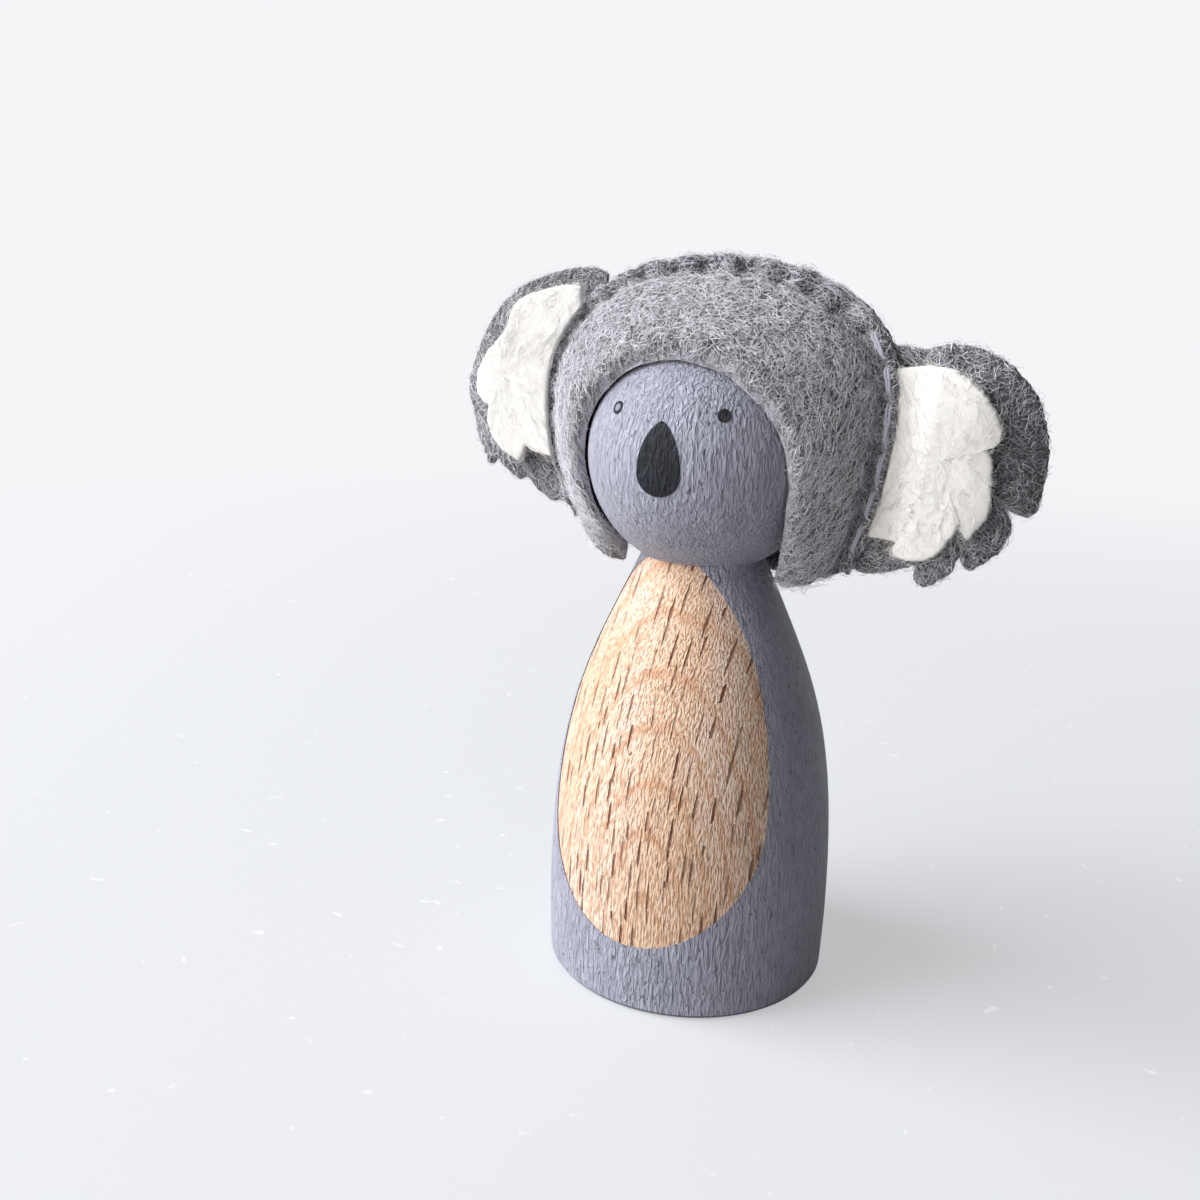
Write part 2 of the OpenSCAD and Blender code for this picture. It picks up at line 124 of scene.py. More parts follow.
def swelling(away: np.ndarray, half_width: float | np.ndarray) -> np.ndarray:
    """Give 1 where a distance is 0, falling smoothly away to either side."""
    return np.exp(-((away / half_width) ** 2))


def between(pair: tuple[float, float], share: np.ndarray) -> np.ndarray:
    """Give what lies between two values, by a share from 0 to 1."""
    return pair[0] + (pair[1] - pair[0]) * share


def upright(flat: np.ndarray, y: float | np.ndarray = 0.0) -> np.ndarray:
    """Stand x and z up as places at a depth y."""
    return np.stack([flat[..., 0], np.broadcast_to(y, flat.shape[:-1]), flat[..., 1]], -1)


def ways_along(points: np.ndarray) -> np.ndarray:
    """Give how far along an open line each of its points lies."""
    return np.concatenate([[0], np.cumsum(np.linalg.norm(np.diff(points, axis=0), axis=1))])


def read_line(points: np.ndarray, at: np.ndarray, ways: np.ndarray) -> np.ndarray:
    """Read a line's values, one row a point at its way, at other ways."""
    return np.stack([np.interp(ways, at, points[:, k]) for k in range(points.shape[1])], -1)


def smooth_noise(points: np.ndarray, period: float, seed: float) -> np.ndarray:
    """Give soft noise from -1 to 1 in space.

    Args:
        points: Places in millimetres, along the last axis.
        period: Size of one lump in millimetres.
        seed: Picks another field.

    Returns:
        One value for each place.
    """
    # Plain numbers that scramble a cell's corner into its own value
    seed_shift, seed_turn, gain = 7.31, 19.19, 43758.5453
    turns = np.array([127.1, 311.7, 74.7])
    scaled = points / period + seed * seed_shift
    cell = np.floor(scaled)
    part = scaled - cell
    part = part * part * (3 - 2 * part)
    total = np.zeros(points.shape[:-1])
    for corner in itertools.product((0, 1), repeat=3):
        mixed = (cell + corner) @ turns + seed * seed_turn
        value = np.modf(np.sin(mixed) * gain)[0]
        weight = np.prod(np.where(corner, part, 1 - part), axis=-1)
        total += value * weight
    return total


def unevenness(points: np.ndarray, *lumps: tuple[float, float, int]) -> np.ndarray:
    """Add up soft noises, each given by its height and period in millimetres and its seed."""
    return sum(height * smooth_noise(points, period, seed) for height, period, seed in lumps)


def add_mesh(name: str, vertices: np.ndarray, faces: list[np.ndarray]) -> bpy.types.Object:
    """Make a smooth shaded mesh object from arrays.

    Args:
        name: The piece's name.
        vertices: Places in millimetres, one row each.
        faces: Arrays of vertex numbers, each with one face a row.

    Returns:
        The new object, at the origin, unturned and unscaled.
    """
    corners = np.concatenate([f.ravel() for f in faces]).astype(np.int32)
    sizes = np.concatenate([np.full(len(f), f.shape[1]) for f in faces])
    mesh = bpy.data.meshes.new(name)
    mesh.vertices.add(len(vertices))
    mesh.vertices.foreach_set("co", (vertices * MM).astype(np.float32).ravel())
    mesh.loops.add(len(corners))
    mesh.loops.foreach_set("vertex_index", corners)
    mesh.polygons.add(len(sizes))
    starts = np.concatenate([[0], np.cumsum(sizes)[:-1]]).astype(np.int32)
    mesh.polygons.foreach_set("loop_start", starts)
    mesh.polygons.foreach_set("use_smooth", np.ones(len(sizes), bool))
    mesh.update(calc_edges=True)
    mesh.validate()
    made = bpy.data.objects.new(name, mesh)
    bpy.context.scene.collection.objects.link(made)
    return made


def add_values(made: bpy.types.Object, name: str, values: np.ndarray) -> None:
    """Store one number on each vertex, for its finish to read."""
    attribute = made.data.attributes.new(name, "FLOAT", "POINT")
    attribute.data.foreach_set("value", values.astype(np.float32))


# Finishes

# What turns a map range into a fall from 1 to 0, and the settings of the two kinds used most
FALLING = {"To Min": 1, "To Max": 0}
EASED = {"interpolation_type": "SMOOTHSTEP"}
COLOURS = {"data_type": "RGBA"}


def add_node(
    tree: bpy.types.NodeTree,
    kind: str,
    inputs: dict[str | int, object] | None = None,
    output: str | int = 0,
    **settings: object,
) -> bpy.types.NodeSocket:
    """Add a shader node with its settings, values and links.

    Args:
        tree: The material's or world's node tree.
        kind: The node's type name, less its first word ShaderNode.
        inputs: Input sockets by name or number; a socket links to it, and anything else is
            its value.
        output: The output that is wanted, by name or number.
        settings: The node's own properties.

    Returns:
        The wanted output, or the tree's own output node's first input.
    """
    node = tree.nodes.new("ShaderNode" + kind)
    for name, setting in settings.items():
        setattr(node, name, setting)
    for key, value in (inputs or {}).items():
        if isinstance(value, bpy.types.NodeSocket):
            tree.links.new(value, node.inputs[key])
        else:
            node.inputs[key].default_value = value
    return node.outputs[output] if len(node.outputs) else node.inputs[0]


def new_material(
    name: str,
) -> tuple[bpy.types.Material, bpy.types.NodeTree, bpy.types.NodeSocket]:
    """Open an empty material.

    Args:
        name: The finish's name.

    Returns:
        The material, its node tree, and the piece's own coordinates in metres.
    """
    material = bpy.data.materials.new(name)
    material.use_nodes = True
    tree = material.node_tree
    tree.nodes.clear()
    return material, tree, add_node(tree, "TexCoord", output="Object")


def marks_scale(size_mm: tuple[float, float]) -> tuple[float, float, float]:
    """Give the mapping scale that draws marks of a width and height in millimetres."""
    return 1000 / size_mm[0], 1000 / size_mm[0], 1000 / size_mm[1]


@dataclass(frozen=True)
class BareBeech:
    """Beech, turned and sanded: even peach wood, short dark ray flecks and faint arched rings.

    Pairs in millimetres are a mark's width and height.
    """

    pale: str = "#ecd6c4"
    warm: str = "#e7c8ad"
    grain: str = "#b78259"
    ring: str = "#c78a5c"
    fleck: str = "#6e3a1a"
    smear: str = "#77788a"
    figure_mm: tuple[float, float] = (20 / 3, 200 / 7)
    # The pores are drawn a few times coarser than real ones, so that they show
    pore_mm: tuple[float, float] = (5 / 22, 1.0)
    pore_depth_mm: float = 0.32
    fleck_half_mm: tuple[float, float] = (0.15, 1.85)
    fleck_cell_mm: tuple[float, float] = (1.8, 4.2)
    ring_mm: float = 5.0
    ring_shift_mm: tuple[float, float] = (-3.4, -8.0)
    ring_squeeze: tuple[float, float] = (2.1, 0.8)
    painted_mm: float = 0.62
    painted_fade_mm: float = 0.1
    # How fast the grain leans to the doll's left with height: sideways metres a square metre
    lean: float = 1.15

    def make(self) -> bpy.types.Material:
        """Build the material.

        Returns:
            The material.
        """
        material, tree, straight = new_material("sanded_beech")
        x, y, up = (add_node(tree, "SeparateXYZ", {0: straight}, axis) for axis in "XYZ")
        square = add_node(tree, "Math", {0: up, 1: up}, operation="MULTIPLY")
        x = add_node(tree, "Math", {0: square, 1: -self.lean, 2: x}, operation="MULTIPLY_ADD")
        place = add_node(tree, "CombineXYZ", {0: x, 1: y, 2: up})
        # The wavy figure, between the two light tones
        wide = add_node(tree, "Mapping", {"Vector": place, "Scale": marks_scale(self.figure_mm)})
        waves = {"Vector": wide, "Scale": 1, "Detail": 2, "Distortion": 0.3}
        even = {"Value": add_node(tree, "TexNoise", waves), "From Min": 0.36, "From Max": 0.68}
        share = add_node(tree, "MapRange", even, **EASED)
        pair = {0: share, 6: linear(self.pale), 7: linear(self.warm)}
        colour = add_node(tree, "Mix", pair, 2, **COLOURS)
        # Over it the rings, the pores, the rays, and paint that ran thinly round the foot's edge
        fine = add_node(tree, "Mapping", {"Vector": place, "Scale": marks_scale(self.pore_mm)})
        pores = add_node(tree, "TexNoise", {"Vector": fine, "Scale": 1, "Detail": 2})
        dark = {"Value": pores, "From Min": 0.43, "From Max": 0.64, "To Max": 0.75}
        flecks = self.flecks(tree, place)
        top = self.painted_mm + self.painted_fade_mm
        low = {"Value": up, "From Min": self.painted_mm * MM, "From Max": top * MM}
        layers = (
            (self.rings(tree, straight), self.ring),
            (add_node(tree, "MapRange", dark), self.grain),
            (flecks, self.fleck),
            (add_node(tree, "MapRange", low | FALLING), self.smear),
        )
        for share, tint in layers:
            pair = {0: share, 6: colour, 7: linear(tint)}
            colour = add_node(tree, "Mix", pair, 2, **COLOURS)
        height = add_node(tree, "Math", {0: pores, 1: flecks}, operation="SUBTRACT")
        relief = {"Height": height, "Distance": self.pore_depth_mm * MM}
        finish = {
            "Base Color": colour,
            "Roughness": 0.7,
            "Specular IOR Level": 0.3,
            "Normal": add_node(tree, "Bump", relief),
            "Sheen Weight": 0.3,
            "Sheen Roughness": 0.4,
        }
        add_node(tree, "OutputMaterial", {"Surface": add_node(tree, "BsdfPrincipled", finish)})
        return material

    def rings(
        self, tree: bpy.types.NodeTree, place: bpy.types.NodeSocket
    ) -> bpy.types.NodeSocket:
        """Draw faint arches, as growth rings show where the turning cuts across them.

        Args:
            tree: The material's node tree.
            place: The piece's own coordinates.

        Returns:
            How dark the rings are.
        """
        (shift_x, shift_z), (squeeze_x, squeeze_z) = self.ring_shift_mm, self.ring_squeeze
        drawn = {"Location": (shift_x * MM, 0, shift_z * MM), "Scale": (squeeze_x, 0, squeeze_z)}
        moved = add_node(tree, "Mapping", {"Vector": place} | drawn)
        far = add_node(tree, "VectorMath", {0: moved}, "Value", operation="LENGTH")
        # The arches waver by up to 3 mm, over lumps of 9 mm
        wobble = add_node(tree, "TexNoise", {"Vector": place, "Scale": 110, "Detail": 1})
        far = add_node(tree, "Math", {0: wobble, 1: 0.003, 2: far}, operation="MULTIPLY_ADD")
        turns = 2 * np.pi / (self.ring_mm * MM)
        phase = add_node(tree, "Math", {0: far, 1: turns}, operation="MULTIPLY")
        wave = add_node(tree, "Math", {0: phase}, operation="SINE")
        crest = {"Value": wave, "From Min": 0.7, "From Max": 1, "To Max": 0.42}
        return add_node(tree, "MapRange", crest)

    def flecks(
        self, tree: bpy.types.NodeTree, place: bpy.types.NodeSocket
    ) -> bpy.types.NodeSocket:
        """Draw the rays: short upright dashes, one to a cell and not all as dark.

        Args:
            tree: The material's node tree.
            place: The coordinates that lean with the grain.

        Returns:
            How dark the dashes are.
        """
        wide, tall = self.fleck_cell_mm
        spread = {"Vector": place, "Scale": (1000 / wide, 0, 1000 / tall)}
        cells = add_node(tree, "Mapping", spread)
        scattered = {"Vector": cells, "Scale": 1, "Randomness": 0.9}
        spots = add_node(tree, "TexVoronoi", scattered, "Position")
        random = add_node(tree, "TexWhiteNoise", {"Vector": spots}, "Value")
        away = add_node(tree, "VectorMath", {0: cells, 1: spots}, operation="SUBTRACT")
        half_wide, half_tall = self.fleck_half_mm
        sized = {"Vector": away, "Scale": (wide / half_wide, 0, tall / half_tall)}
        shaped = add_node(tree, "Mapping", sized)
        far = add_node(tree, "VectorMath", {0: shaped}, "Value", operation="LENGTH")
        # Their outline is ragged, over lumps of 0.3 mm
        ragged = add_node(tree, "TexNoise", {"Vector": place, "Scale": 3500, "Detail": 1})
        far = add_node(tree, "Math", {0: ragged, 1: 0.9, 2: far}, operation="MULTIPLY_ADD")
        shape = {"Value": far, "From Min": 1.0, "From Max": 1.75} | FALLING
        dash = add_node(tree, "MapRange", shape, **EASED)
        uneven = {"Value": random, "From Min": 0.1, "To Min": 0.15, "To Max": 1.0}
        dark = add_node(tree, "MapRange", uneven)
        return add_node(tree, "Math", {0: dash, 1: dark}, operation="MULTIPLY")


@dataclass(frozen=True)
class BrushedPaint:
    """Matt acrylic craft paint: raised upright brush ridges, short pits darkened with painted shade
    and a dull sheen.

    Pairs in millimetres are a mark's width and height.
    """

    name: str = "brushed_grey_paint"
    pale: str = "#a9aaba"
    deep: str = "#9495a5"
    pit_shade: str = "#4f505e"
    # Pits darkened with painted shade
    roughness: float = 0.5
    specular: float = 0.35
    sheen: float = 0.3
    ridge_mm: tuple[float, float] = (0.42, 0.42 / 0.22)
    ridge_depth_mm: float = 0.8
    patch_mm: tuple[float, float] = (50 / 21, 100 / 13)
    pit_shade_mm: tuple[float, float] = (10 / 33, 20 / 23)
    pit_shade_share: float = 0.7
    # A spot worn back to the coat: its middle and radius, and how much of the coat shows
    worn_at_mm: tuple[float, float, float] = (0.0, 0.0, 0.0)
    worn_mm: float = 0.0
    worn_share: float = 0.75

    def make(self) -> bpy.types.Material:
        """Build the material.

        Returns:
            The material.
        """
        material, tree, place = new_material(self.name)
        # Ridges of the brush, not quite straight, and broader patches of thicker paint
        drawn = add_node(tree, "Mapping", {"Vector": place, "Scale": marks_scale(self.ridge_mm)})
        strokes = {"Vector": drawn, "Scale": 1, "Detail": 4, "Distortion": 0.6}
        ridges = add_node(tree, "TexNoise", strokes)
        wide = add_node(tree, "Mapping", {"Vector": place, "Scale": marks_scale(self.patch_mm)})
        broad = add_node(tree, "TexNoise", {"Vector": wide, "Scale": 1, "Detail": 2})
        tone = add_node(tree, "Math", {0: broad, 1: 0.5, 2: ridges}, operation="MULTIPLY_ADD")
        even = {"Value": tone, "From Min": 0.55, "From Max": 0.92}
        share = add_node(tree, "MapRange", even, **EASED)
        pair = {0: share, 6: linear(self.deep), 7: linear(self.pale)}
        colour = add_node(tree, "Mix", pair, 2, **COLOURS)
        # Pits left between the ridges, darkened with painted shade
        short = add_node(tree, "Mapping", {"Vector": place, "Scale": marks_scale(self.pit_shade_mm)})
        specks = add_node(tree, "TexNoise", {"Vector": short, "Scale": 1, "Detail": 1})
        sharp = {"Value": specks, "From Min": 0.655, "From Max": 0.72, "To Max": self.pit_shade_share}
        pits = add_node(tree, "MapRange", sharp, **EASED)
        layers = [(pits, self.pit_shade)]
        if self.worn_mm:
            middle = tuple(v * MM for v in self.worn_at_mm)
            apart = {0: place, 1: middle}
            away = add_node(tree, "VectorMath", apart, "Value", operation="DISTANCE")
            near, far = (self.worn_mm * part * MM for part in (0.8, 1.15))
            spot = {"Value": away, "From Min": near, "From Max": far}
            spot |= {"To Min": self.worn_share, "To Max": 0}
            layers.append((add_node(tree, "MapRange", spot), BrushedPaint.pale))
        for share, tint in layers:
            pair = {0: share, 6: colour, 7: linear(tint)}
            colour = add_node(tree, "Mix", pair, 2, **COLOURS)
        height = add_node(tree, "Math", {0: pits, 1: -0.3, 2: ridges}, operation="MULTIPLY_ADD")
        relief = {"Height": height, "Distance": self.ridge_depth_mm * MM}
        finish = {
            "Base Color": colour,
            "Roughness": self.roughness,
            "Specular IOR Level": self.specular,
            "Normal": add_node(tree, "Bump", relief),
            "Sheen Weight": self.sheen,
            "Sheen Roughness": 0.4,
        }
        add_node(tree, "OutputMaterial", {"Surface": add_node(tree, "BsdfPrincipled", finish)})
        return material


@dataclass(frozen=True)
class WoolFelt:
    """Pressed wool felt: no weave, but a tangle of curly fibres over gaps darkened partly with
    painted shade, quite matt.
    """

    name: str = "grey_wool_felt"
    # The gaps between fibres: partly the felt's own tone, partly painted shade
    gap: str = "#242026"
    body: str = "#514b55"
    fibre: str = "#c9c8d6"
    # Stitch dimples: partly pressed felt, partly painted shade
    pressed_felt_and_shade: str = "#262329"
    # A cut edge's paler tone: partly denser cut felt, partly a painted highlight
    cut: str = "#c0bcc7"
    cut_and_highlight_share: float = 0.85
    sheen: float = 0.7
    fibre_share: float = 0.8
    gap_mm: float = 10 / 33
    mottle_mm: float = 2.4
    relief_mm: float = 0.2
    # The tangle's three layers: how far apart its threads lie, their width in the noise's own
    # value, and how far the layer is moved in metres
    threads: tuple[tuple[float, float, float], ...] = (
        (1.3, 0.02, 0.0), (0.95, 0.024, 0.013), (0.7, 0.028, 0.029),
    )

    def make(self) -> bpy.types.Material:
        """Build the material.

        Returns:
            The material.
        """
        material, tree, place = new_material(self.name)
        # A fine tone that is darker in the low gaps, partly painted shade, over a broad mottle
        fine, patch = (
            add_node(tree, "TexNoise", {"Vector": place, "Scale": 1000 / size, "Detail": 2})
            for size in (self.gap_mm, self.mottle_mm)
        )
        tone = add_node(tree, "Math", {0: patch, 1: 0.55, 2: fine}, operation="MULTIPLY_ADD")
        even = {"Value": tone, "From Min": 0.56, "From Max": 0.96}
        share = add_node(tree, "MapRange", even, **EASED)
        pair = {0: share, 6: linear(self.gap), 7: linear(self.body)}
        colour = add_node(tree, "Mix", pair, 2, **COLOURS)
        # Fibres show over the gaps; felt that a stitch presses down is darker, partly by painted
        # shade in its dimples, and a cut edge paler
        tangle = self.tangle(tree, place)
        pressed, cut = (
            add_node(tree, "Attribute", output="Fac", attribute_name=name)
            for name in ("pressed", "cut")
        )
        layers = (
            (tangle, self.fibre, self.fibre_share),
            (pressed, self.pressed_felt_and_shade, 1.0),
            # The cut edge's paler tone is partly a painted highlight
            (cut, self.cut, self.cut_and_highlight_share),
        )
        for there, tint, most in layers:
            share = add_node(tree, "Math", {0: there, 1: most}, operation="MULTIPLY")
            pair = {0: share, 6: colour, 7: linear(tint)}
            colour = add_node(tree, "Mix", pair, 2, **COLOURS)
        height = add_node(tree, "Math", {0: fine, 1: 0.8, 2: tangle}, operation="MULTIPLY_ADD")
        relief = {"Height": height, "Distance": self.relief_mm * MM}
        finish = {
            "Base Color": colour,
            "Roughness": 0.95,
            "Specular IOR Level": 0.15,
            "Sheen Weight": self.sheen,
            "Sheen Roughness": 0.55,
            "Normal": add_node(tree, "Bump", relief),
        }
        add_node(tree, "OutputMaterial", {"Surface": add_node(tree, "BsdfPrincipled", finish)})
        return material

    def tangle(
        self, tree: bpy.types.NodeTree, place: bpy.types.NodeSocket
    ) -> bpy.types.NodeSocket:
        """Draw curly threads, where soft fields cross their middle value.

        Args:
            tree: The material's node tree.
            place: The piece's own coordinates.

        Returns:
            How strongly a thread shows.
        """
        lines = None
        for period, width, shift in self.threads:
            moved = add_node(tree, "Mapping", {"Vector": place, "Location": (shift,) * 3})
            curly = {"Vector": moved, "Scale": 1000 / period, "Detail": 1, "Distortion": 1.2}
            soft = add_node(tree, "TexNoise", curly)
            off = add_node(tree, "Math", {0: soft, 1: 0.5}, operation="SUBTRACT")
            off = add_node(tree, "Math", {0: off}, operation="ABSOLUTE")
            edge = {"Value": off, "From Min": 0, "From Max": width} | FALLING
            line = add_node(tree, "MapRange", edge, **EASED)
            if lines is not None:
                line = add_node(tree, "Math", {0: lines, 1: line}, operation="MAXIMUM")
            lines = line
        return lines


@dataclass(frozen=True)
class LooseFibre:
    """Wool hairs and sewing thread: matt, each with its own tint between two colours."""

    name: str = "grey_wool_fibre"
    dark: str = "#3d3942"
    light: str = "#f4f4fa"
    sheen: float = 0.7
    patch_mm: float = 5 / 6

    def make(self) -> bpy.types.Material:
        """Build the material.

        Returns:
            The material.
        """
        material, tree, place = new_material(self.name)
        tint = add_node(tree, "Attribute", output="Fac", attribute_name="tint")
        patches = {"Vector": place, "Scale": 1000 / self.patch_mm, "Detail": 1}
        uneven = add_node(tree, "TexNoise", patches)
        share = add_node(tree, "Math", {0: uneven, 1: 0.35, 2: tint}, operation="MULTIPLY_ADD")
        share = add_node(tree, "MapRange", {"Value": share, "From Min": 0.17, "From Max": 1.17})
        pair = {0: share, 6: linear(self.dark), 7: linear(self.light)}
        finish = {
            "Base Color": add_node(tree, "Mix", pair, 2, **COLOURS),
            "Roughness": 0.8,
            "Specular IOR Level": 0.2,
            "Sheen Weight": self.sheen,
            "Sheen Roughness": 0.5,
        }
        add_node(tree, "OutputMaterial", {"Surface": add_node(tree, "BsdfPrincipled", finish)})
        return material


@dataclass(frozen=True)
class TableTop:
    """A pale smooth table with tiny white flecks, which the camera sees fade into the backdrop.

    It is dimmer to light that bounces, so that the doll's shaded side isn't lit from below.
    """

    pale: str = "#d0d2d6"
    fleck: str = "#f8f9fb"
    dim: str = "#a3a3a5"
    far: str = "#f4f5f7"
    fleck_mm: float = 100 / 33
    # Where the fade starts and ends, and how much of the backdrop shows before it
    fade_m: tuple[float, float] = (0.07, 0.5)
    near_share: float = 0.52

    def make(self) -> bpy.types.Material:
        """Build the material.

        Returns:
            The material.
        """
        material, tree, place = new_material("pale_table")
        lumps = {"Vector": place, "Scale": 1000 / self.fleck_mm, "Detail": 3, "Distortion": 0.6}
        peaks = {"Value": add_node(tree, "TexNoise", lumps), "From Min": 0.7, "From Max": 0.74}
        share = add_node(tree, "MapRange", peaks)
        pair = {0: share, 6: linear(self.pale), 7: linear(self.fleck)}
        colour = add_node(tree, "Mix", pair, 2, **COLOURS)
        seen = add_seen(tree)
        pair = {0: seen, 6: linear(self.dim), 7: colour}
        colour = add_node(tree, "Mix", pair, 2, **COLOURS)
        finish = {"Base Color": colour, "Roughness": 0.45, "Specular IOR Level": 0.25}
        shader = add_node(tree, "BsdfPrincipled", finish)
        glow = add_node(tree, "Emission", {"Color": linear(self.far)})
        distance = add_node(tree, "VectorMath", {0: place}, "Value", operation="LENGTH")
        near, far = self.fade_m
        away = {"Value": distance, "From Min": near, "From Max": far}
        fade = add_node(tree, "MapRange", away | {"To Min": self.near_share, "To Max": 1}, **EASED)
        fade = add_node(tree, "Math", {0: fade, 1: seen}, operation="MULTIPLY")
        mixed = add_node(tree, "MixShader", {0: fade, 1: shader, 2: glow})
        add_node(tree, "OutputMaterial", {"Surface": mixed})
        return material


def add_seen(tree: bpy.types.NodeTree) -> bpy.types.NodeSocket:
    """Tell the rays that show the backdrop: the camera's, and those in gloss and glass.

    Args:
        tree: The material's or world's node tree.

    Returns:
        1 for such a ray and 0 for any other.
    """
    seen = add_node(tree, "LightPath", output="Is Camera Ray")
    for kind in ("Is Glossy Ray", "Is Transmission Ray"):
        other = add_node(tree, "LightPath", output=kind)
        seen = add_node(tree, "Math", {0: seen, 1: other}, operation="MAXIMUM")
    return seen


# Sheets of felt

# A cut edge's rounding: where its points lie as shares of its depth, and how square it is
EDGE_STEPS = np.array([0, 0.03, 0.12, 0.3, 0.6, 1.0])
EDGE_POWER = 2.6

# Keeps a place just inside the grid's last step
INSIDE = 1.001


def grid_quads(
    i: np.ndarray, i_next: np.ndarray, j: np.ndarray, j_next: np.ndarray, width: int
) -> np.ndarray:
    """Join a grid's points into quads.

    Args:
        i: Rows, as a column of numbers.
        i_next: The row after each.
        j: Columns, as a row of numbers.
        j_next: The column after each.
        width: How many points a row has.

    Returns:
        Four vertex numbers for each quad.
    """
    corners = ((i, j), (i_next, j), (i_next, j_next), (i, j_next))
    return np.stack([row * width + column for row, column in corners], -1).reshape(-1, 4)


@dataclass
class FeltSheet:
    """A closed sheet as a grid of points in millimetres.

    Rows run along its edge, and columns across its section.

    Args:
        points: Places, rows by columns by three.
        ringed: Whether the last row meets the first; its first and last columns are then poles.
        normals: Outward directions, one for each point.
        pressed: How far a stitch presses each point down, from 0 to 1.
        cut: How much each point is part of a cut edge, from 0 to 1.
        row_step: Length of one step along the rows at each point.
        row_length: Length of each row's section.
        column_at: How far across a mean section each column lies.
    """

    points: np.ndarray
    ringed: bool
    normals: np.ndarray = field(init=False)
    pressed: np.ndarray = field(init=False)
    cut: np.ndarray = field(init=False)
    row_step: np.ndarray = field(init=False)
    row_length: np.ndarray = field(init=False)
    column_at: np.ndarray = field(init=False)

    def __post_init__(self) -> None:
        """Work out the normals, with nothing pressed and no cut edge marked yet."""
        self.pressed = np.zeros(self.points.shape[:2])
        self.cut = np.zeros(self.points.shape[:2])
        self.refresh()

    def refresh(self) -> None:
        """Work out the outward normals and the lengths that walks need."""
        p = self.points
        if self.ringed:
            along = (np.roll(p, -1, 0) - np.roll(p, 1, 0)) / 2
            across = np.gradient(p, axis=1)
        else:
            along = np.gradient(p, axis=0)
            across = (np.roll(p, -1, 1) - np.roll(p, 1, 1)) / 2
        self.normals = unit(np.cross(along, across))
        if self.ringed:
            for end, near in ((0, 2), (-1, -3)):
                self.normals[:, end] = unit(self.normals[:, near].mean(0))
        if self.volume() < 0:
            self.normals = -self.normals
        self.row_step = np.linalg.norm(along, axis=-1)
        lengths = np.linalg.norm(np.diff(p, axis=1), axis=-1)
        self.row_length = lengths.sum(1)
        self.column_at = np.concatenate([[0], np.cumsum(lengths.mean(0))])

    def skin(self) -> tuple[np.ndarray, list[np.ndarray]]:
        """List the skin's vertices and faces.

        Returns:
            Vertices, and arrays of faces with the quads first.
        """
        return self.ring_skin() if self.ringed else self.strip_skin()

    def ring_skin(self) -> tuple[np.ndarray, list[np.ndarray]]:
        """List the vertices and faces of a sheet that closes on itself between two poles.

        Returns:
            Vertices with the poles last, quads, and the fans of triangles at the poles.
        """
        rows, columns = self.points.shape[:2]
        width = columns - 2
        k = np.arange(rows)
        k_next = (k + 1) % rows
        j = np.arange(width - 1)[None, :]
        quads = grid_quads(k[:, None], k_next[:, None], j, j + 1, width)
        first = rows * width
        last = first + 1
        fans = (
            np.stack([np.full(rows, first), k_next * width, k * width], -1),
            np.stack([np.full(rows, last), (k + 1) * width - 1, (k_next + 1) * width - 1], -1),
        )
        inner = self.points[:, 1:-1].reshape(-1, 3)
        poles = np.stack([self.points[:, 0].mean(0), self.points[:, -1].mean(0)])
        return np.concatenate([inner, poles]), [quads, np.concatenate(fans)]

    def strip_skin(self) -> tuple[np.ndarray, list[np.ndarray]]:
        """List the vertices and faces of a strip whose section is a loop, closed at both ends.

        Returns:
            Vertices, quads, and the triangles at the ends' tips.
        """
        rows, columns = self.points.shape[:2]
        i = np.arange(rows - 1)[:, None]
        j = np.arange(columns)[None, :]
        quads = [grid_quads(i, i + 1, j, (j + 1) % columns, columns)]
        half = columns // 2
        k = np.arange(half)
        other = (columns - k) % columns
        beyond = (columns - k - 1) % columns
        cap = np.stack([k, k + 1, beyond, other], -1)[1:-1]
        tips = np.array([[0, 1, columns - 1], [half, half + 1, half - 1]])
        last = (rows - 1) * columns
        quads += [cap, last + cap[:, ::-1]]
        return self.points.reshape(-1, 3), [np.concatenate(quads), tips, last + tips[:, ::-1]]

    def triangles(self) -> np.ndarray:
        """Give the corners of the skin's triangles: triangles by corners by three."""
        vertices, faces = self.skin()
        halves = [faces[0][:, [0, 1, 2]], faces[0][:, [0, 2, 3]]]
        return vertices[np.concatenate([*halves, *faces[1:]])]

    def volume(self) -> float:
        """Give the signed volume of the skin, which tells which way its faces point."""
        a, b, c = np.moveaxis(self.triangles(), 1, 0)
        return float((a * np.cross(b, c)).sum() / 6)

    def flat_area(self) -> float:
        """Give the area in square metres that the sheet was cut to, which is half its skin."""
        a, b, c = np.moveaxis(self.triangles(), 1, 0)
        return float(np.linalg.norm(np.cross(b - a, c - a), axis=1).sum() / 4) * MM * MM

    def shift(self, amount: np.ndarray) -> None:
        """Move every point along its normal, in millimetres."""
        self.points = self.points + self.normals * amount[..., None]
        self.refresh()

    def build(self, name: str) -> bpy.types.Object:
        """Make the mesh, with its faces outwards, and store what its finish reads.

        Args:
            name: The piece's name.

        Returns:
            The new object.
        """
        vertices, faces = self.skin()
        if self.volume() < 0:
            faces = [f[:, ::-1] for f in faces]
        made = add_mesh(name, vertices, faces)
        for mark, grid in (("pressed", self.pressed), ("cut", self.cut)):
            values = grid[:, 1:-1].ravel() if self.ringed else grid.ravel()
            add_values(made, mark, np.pad(values, (0, len(vertices) - len(values))))
        return made

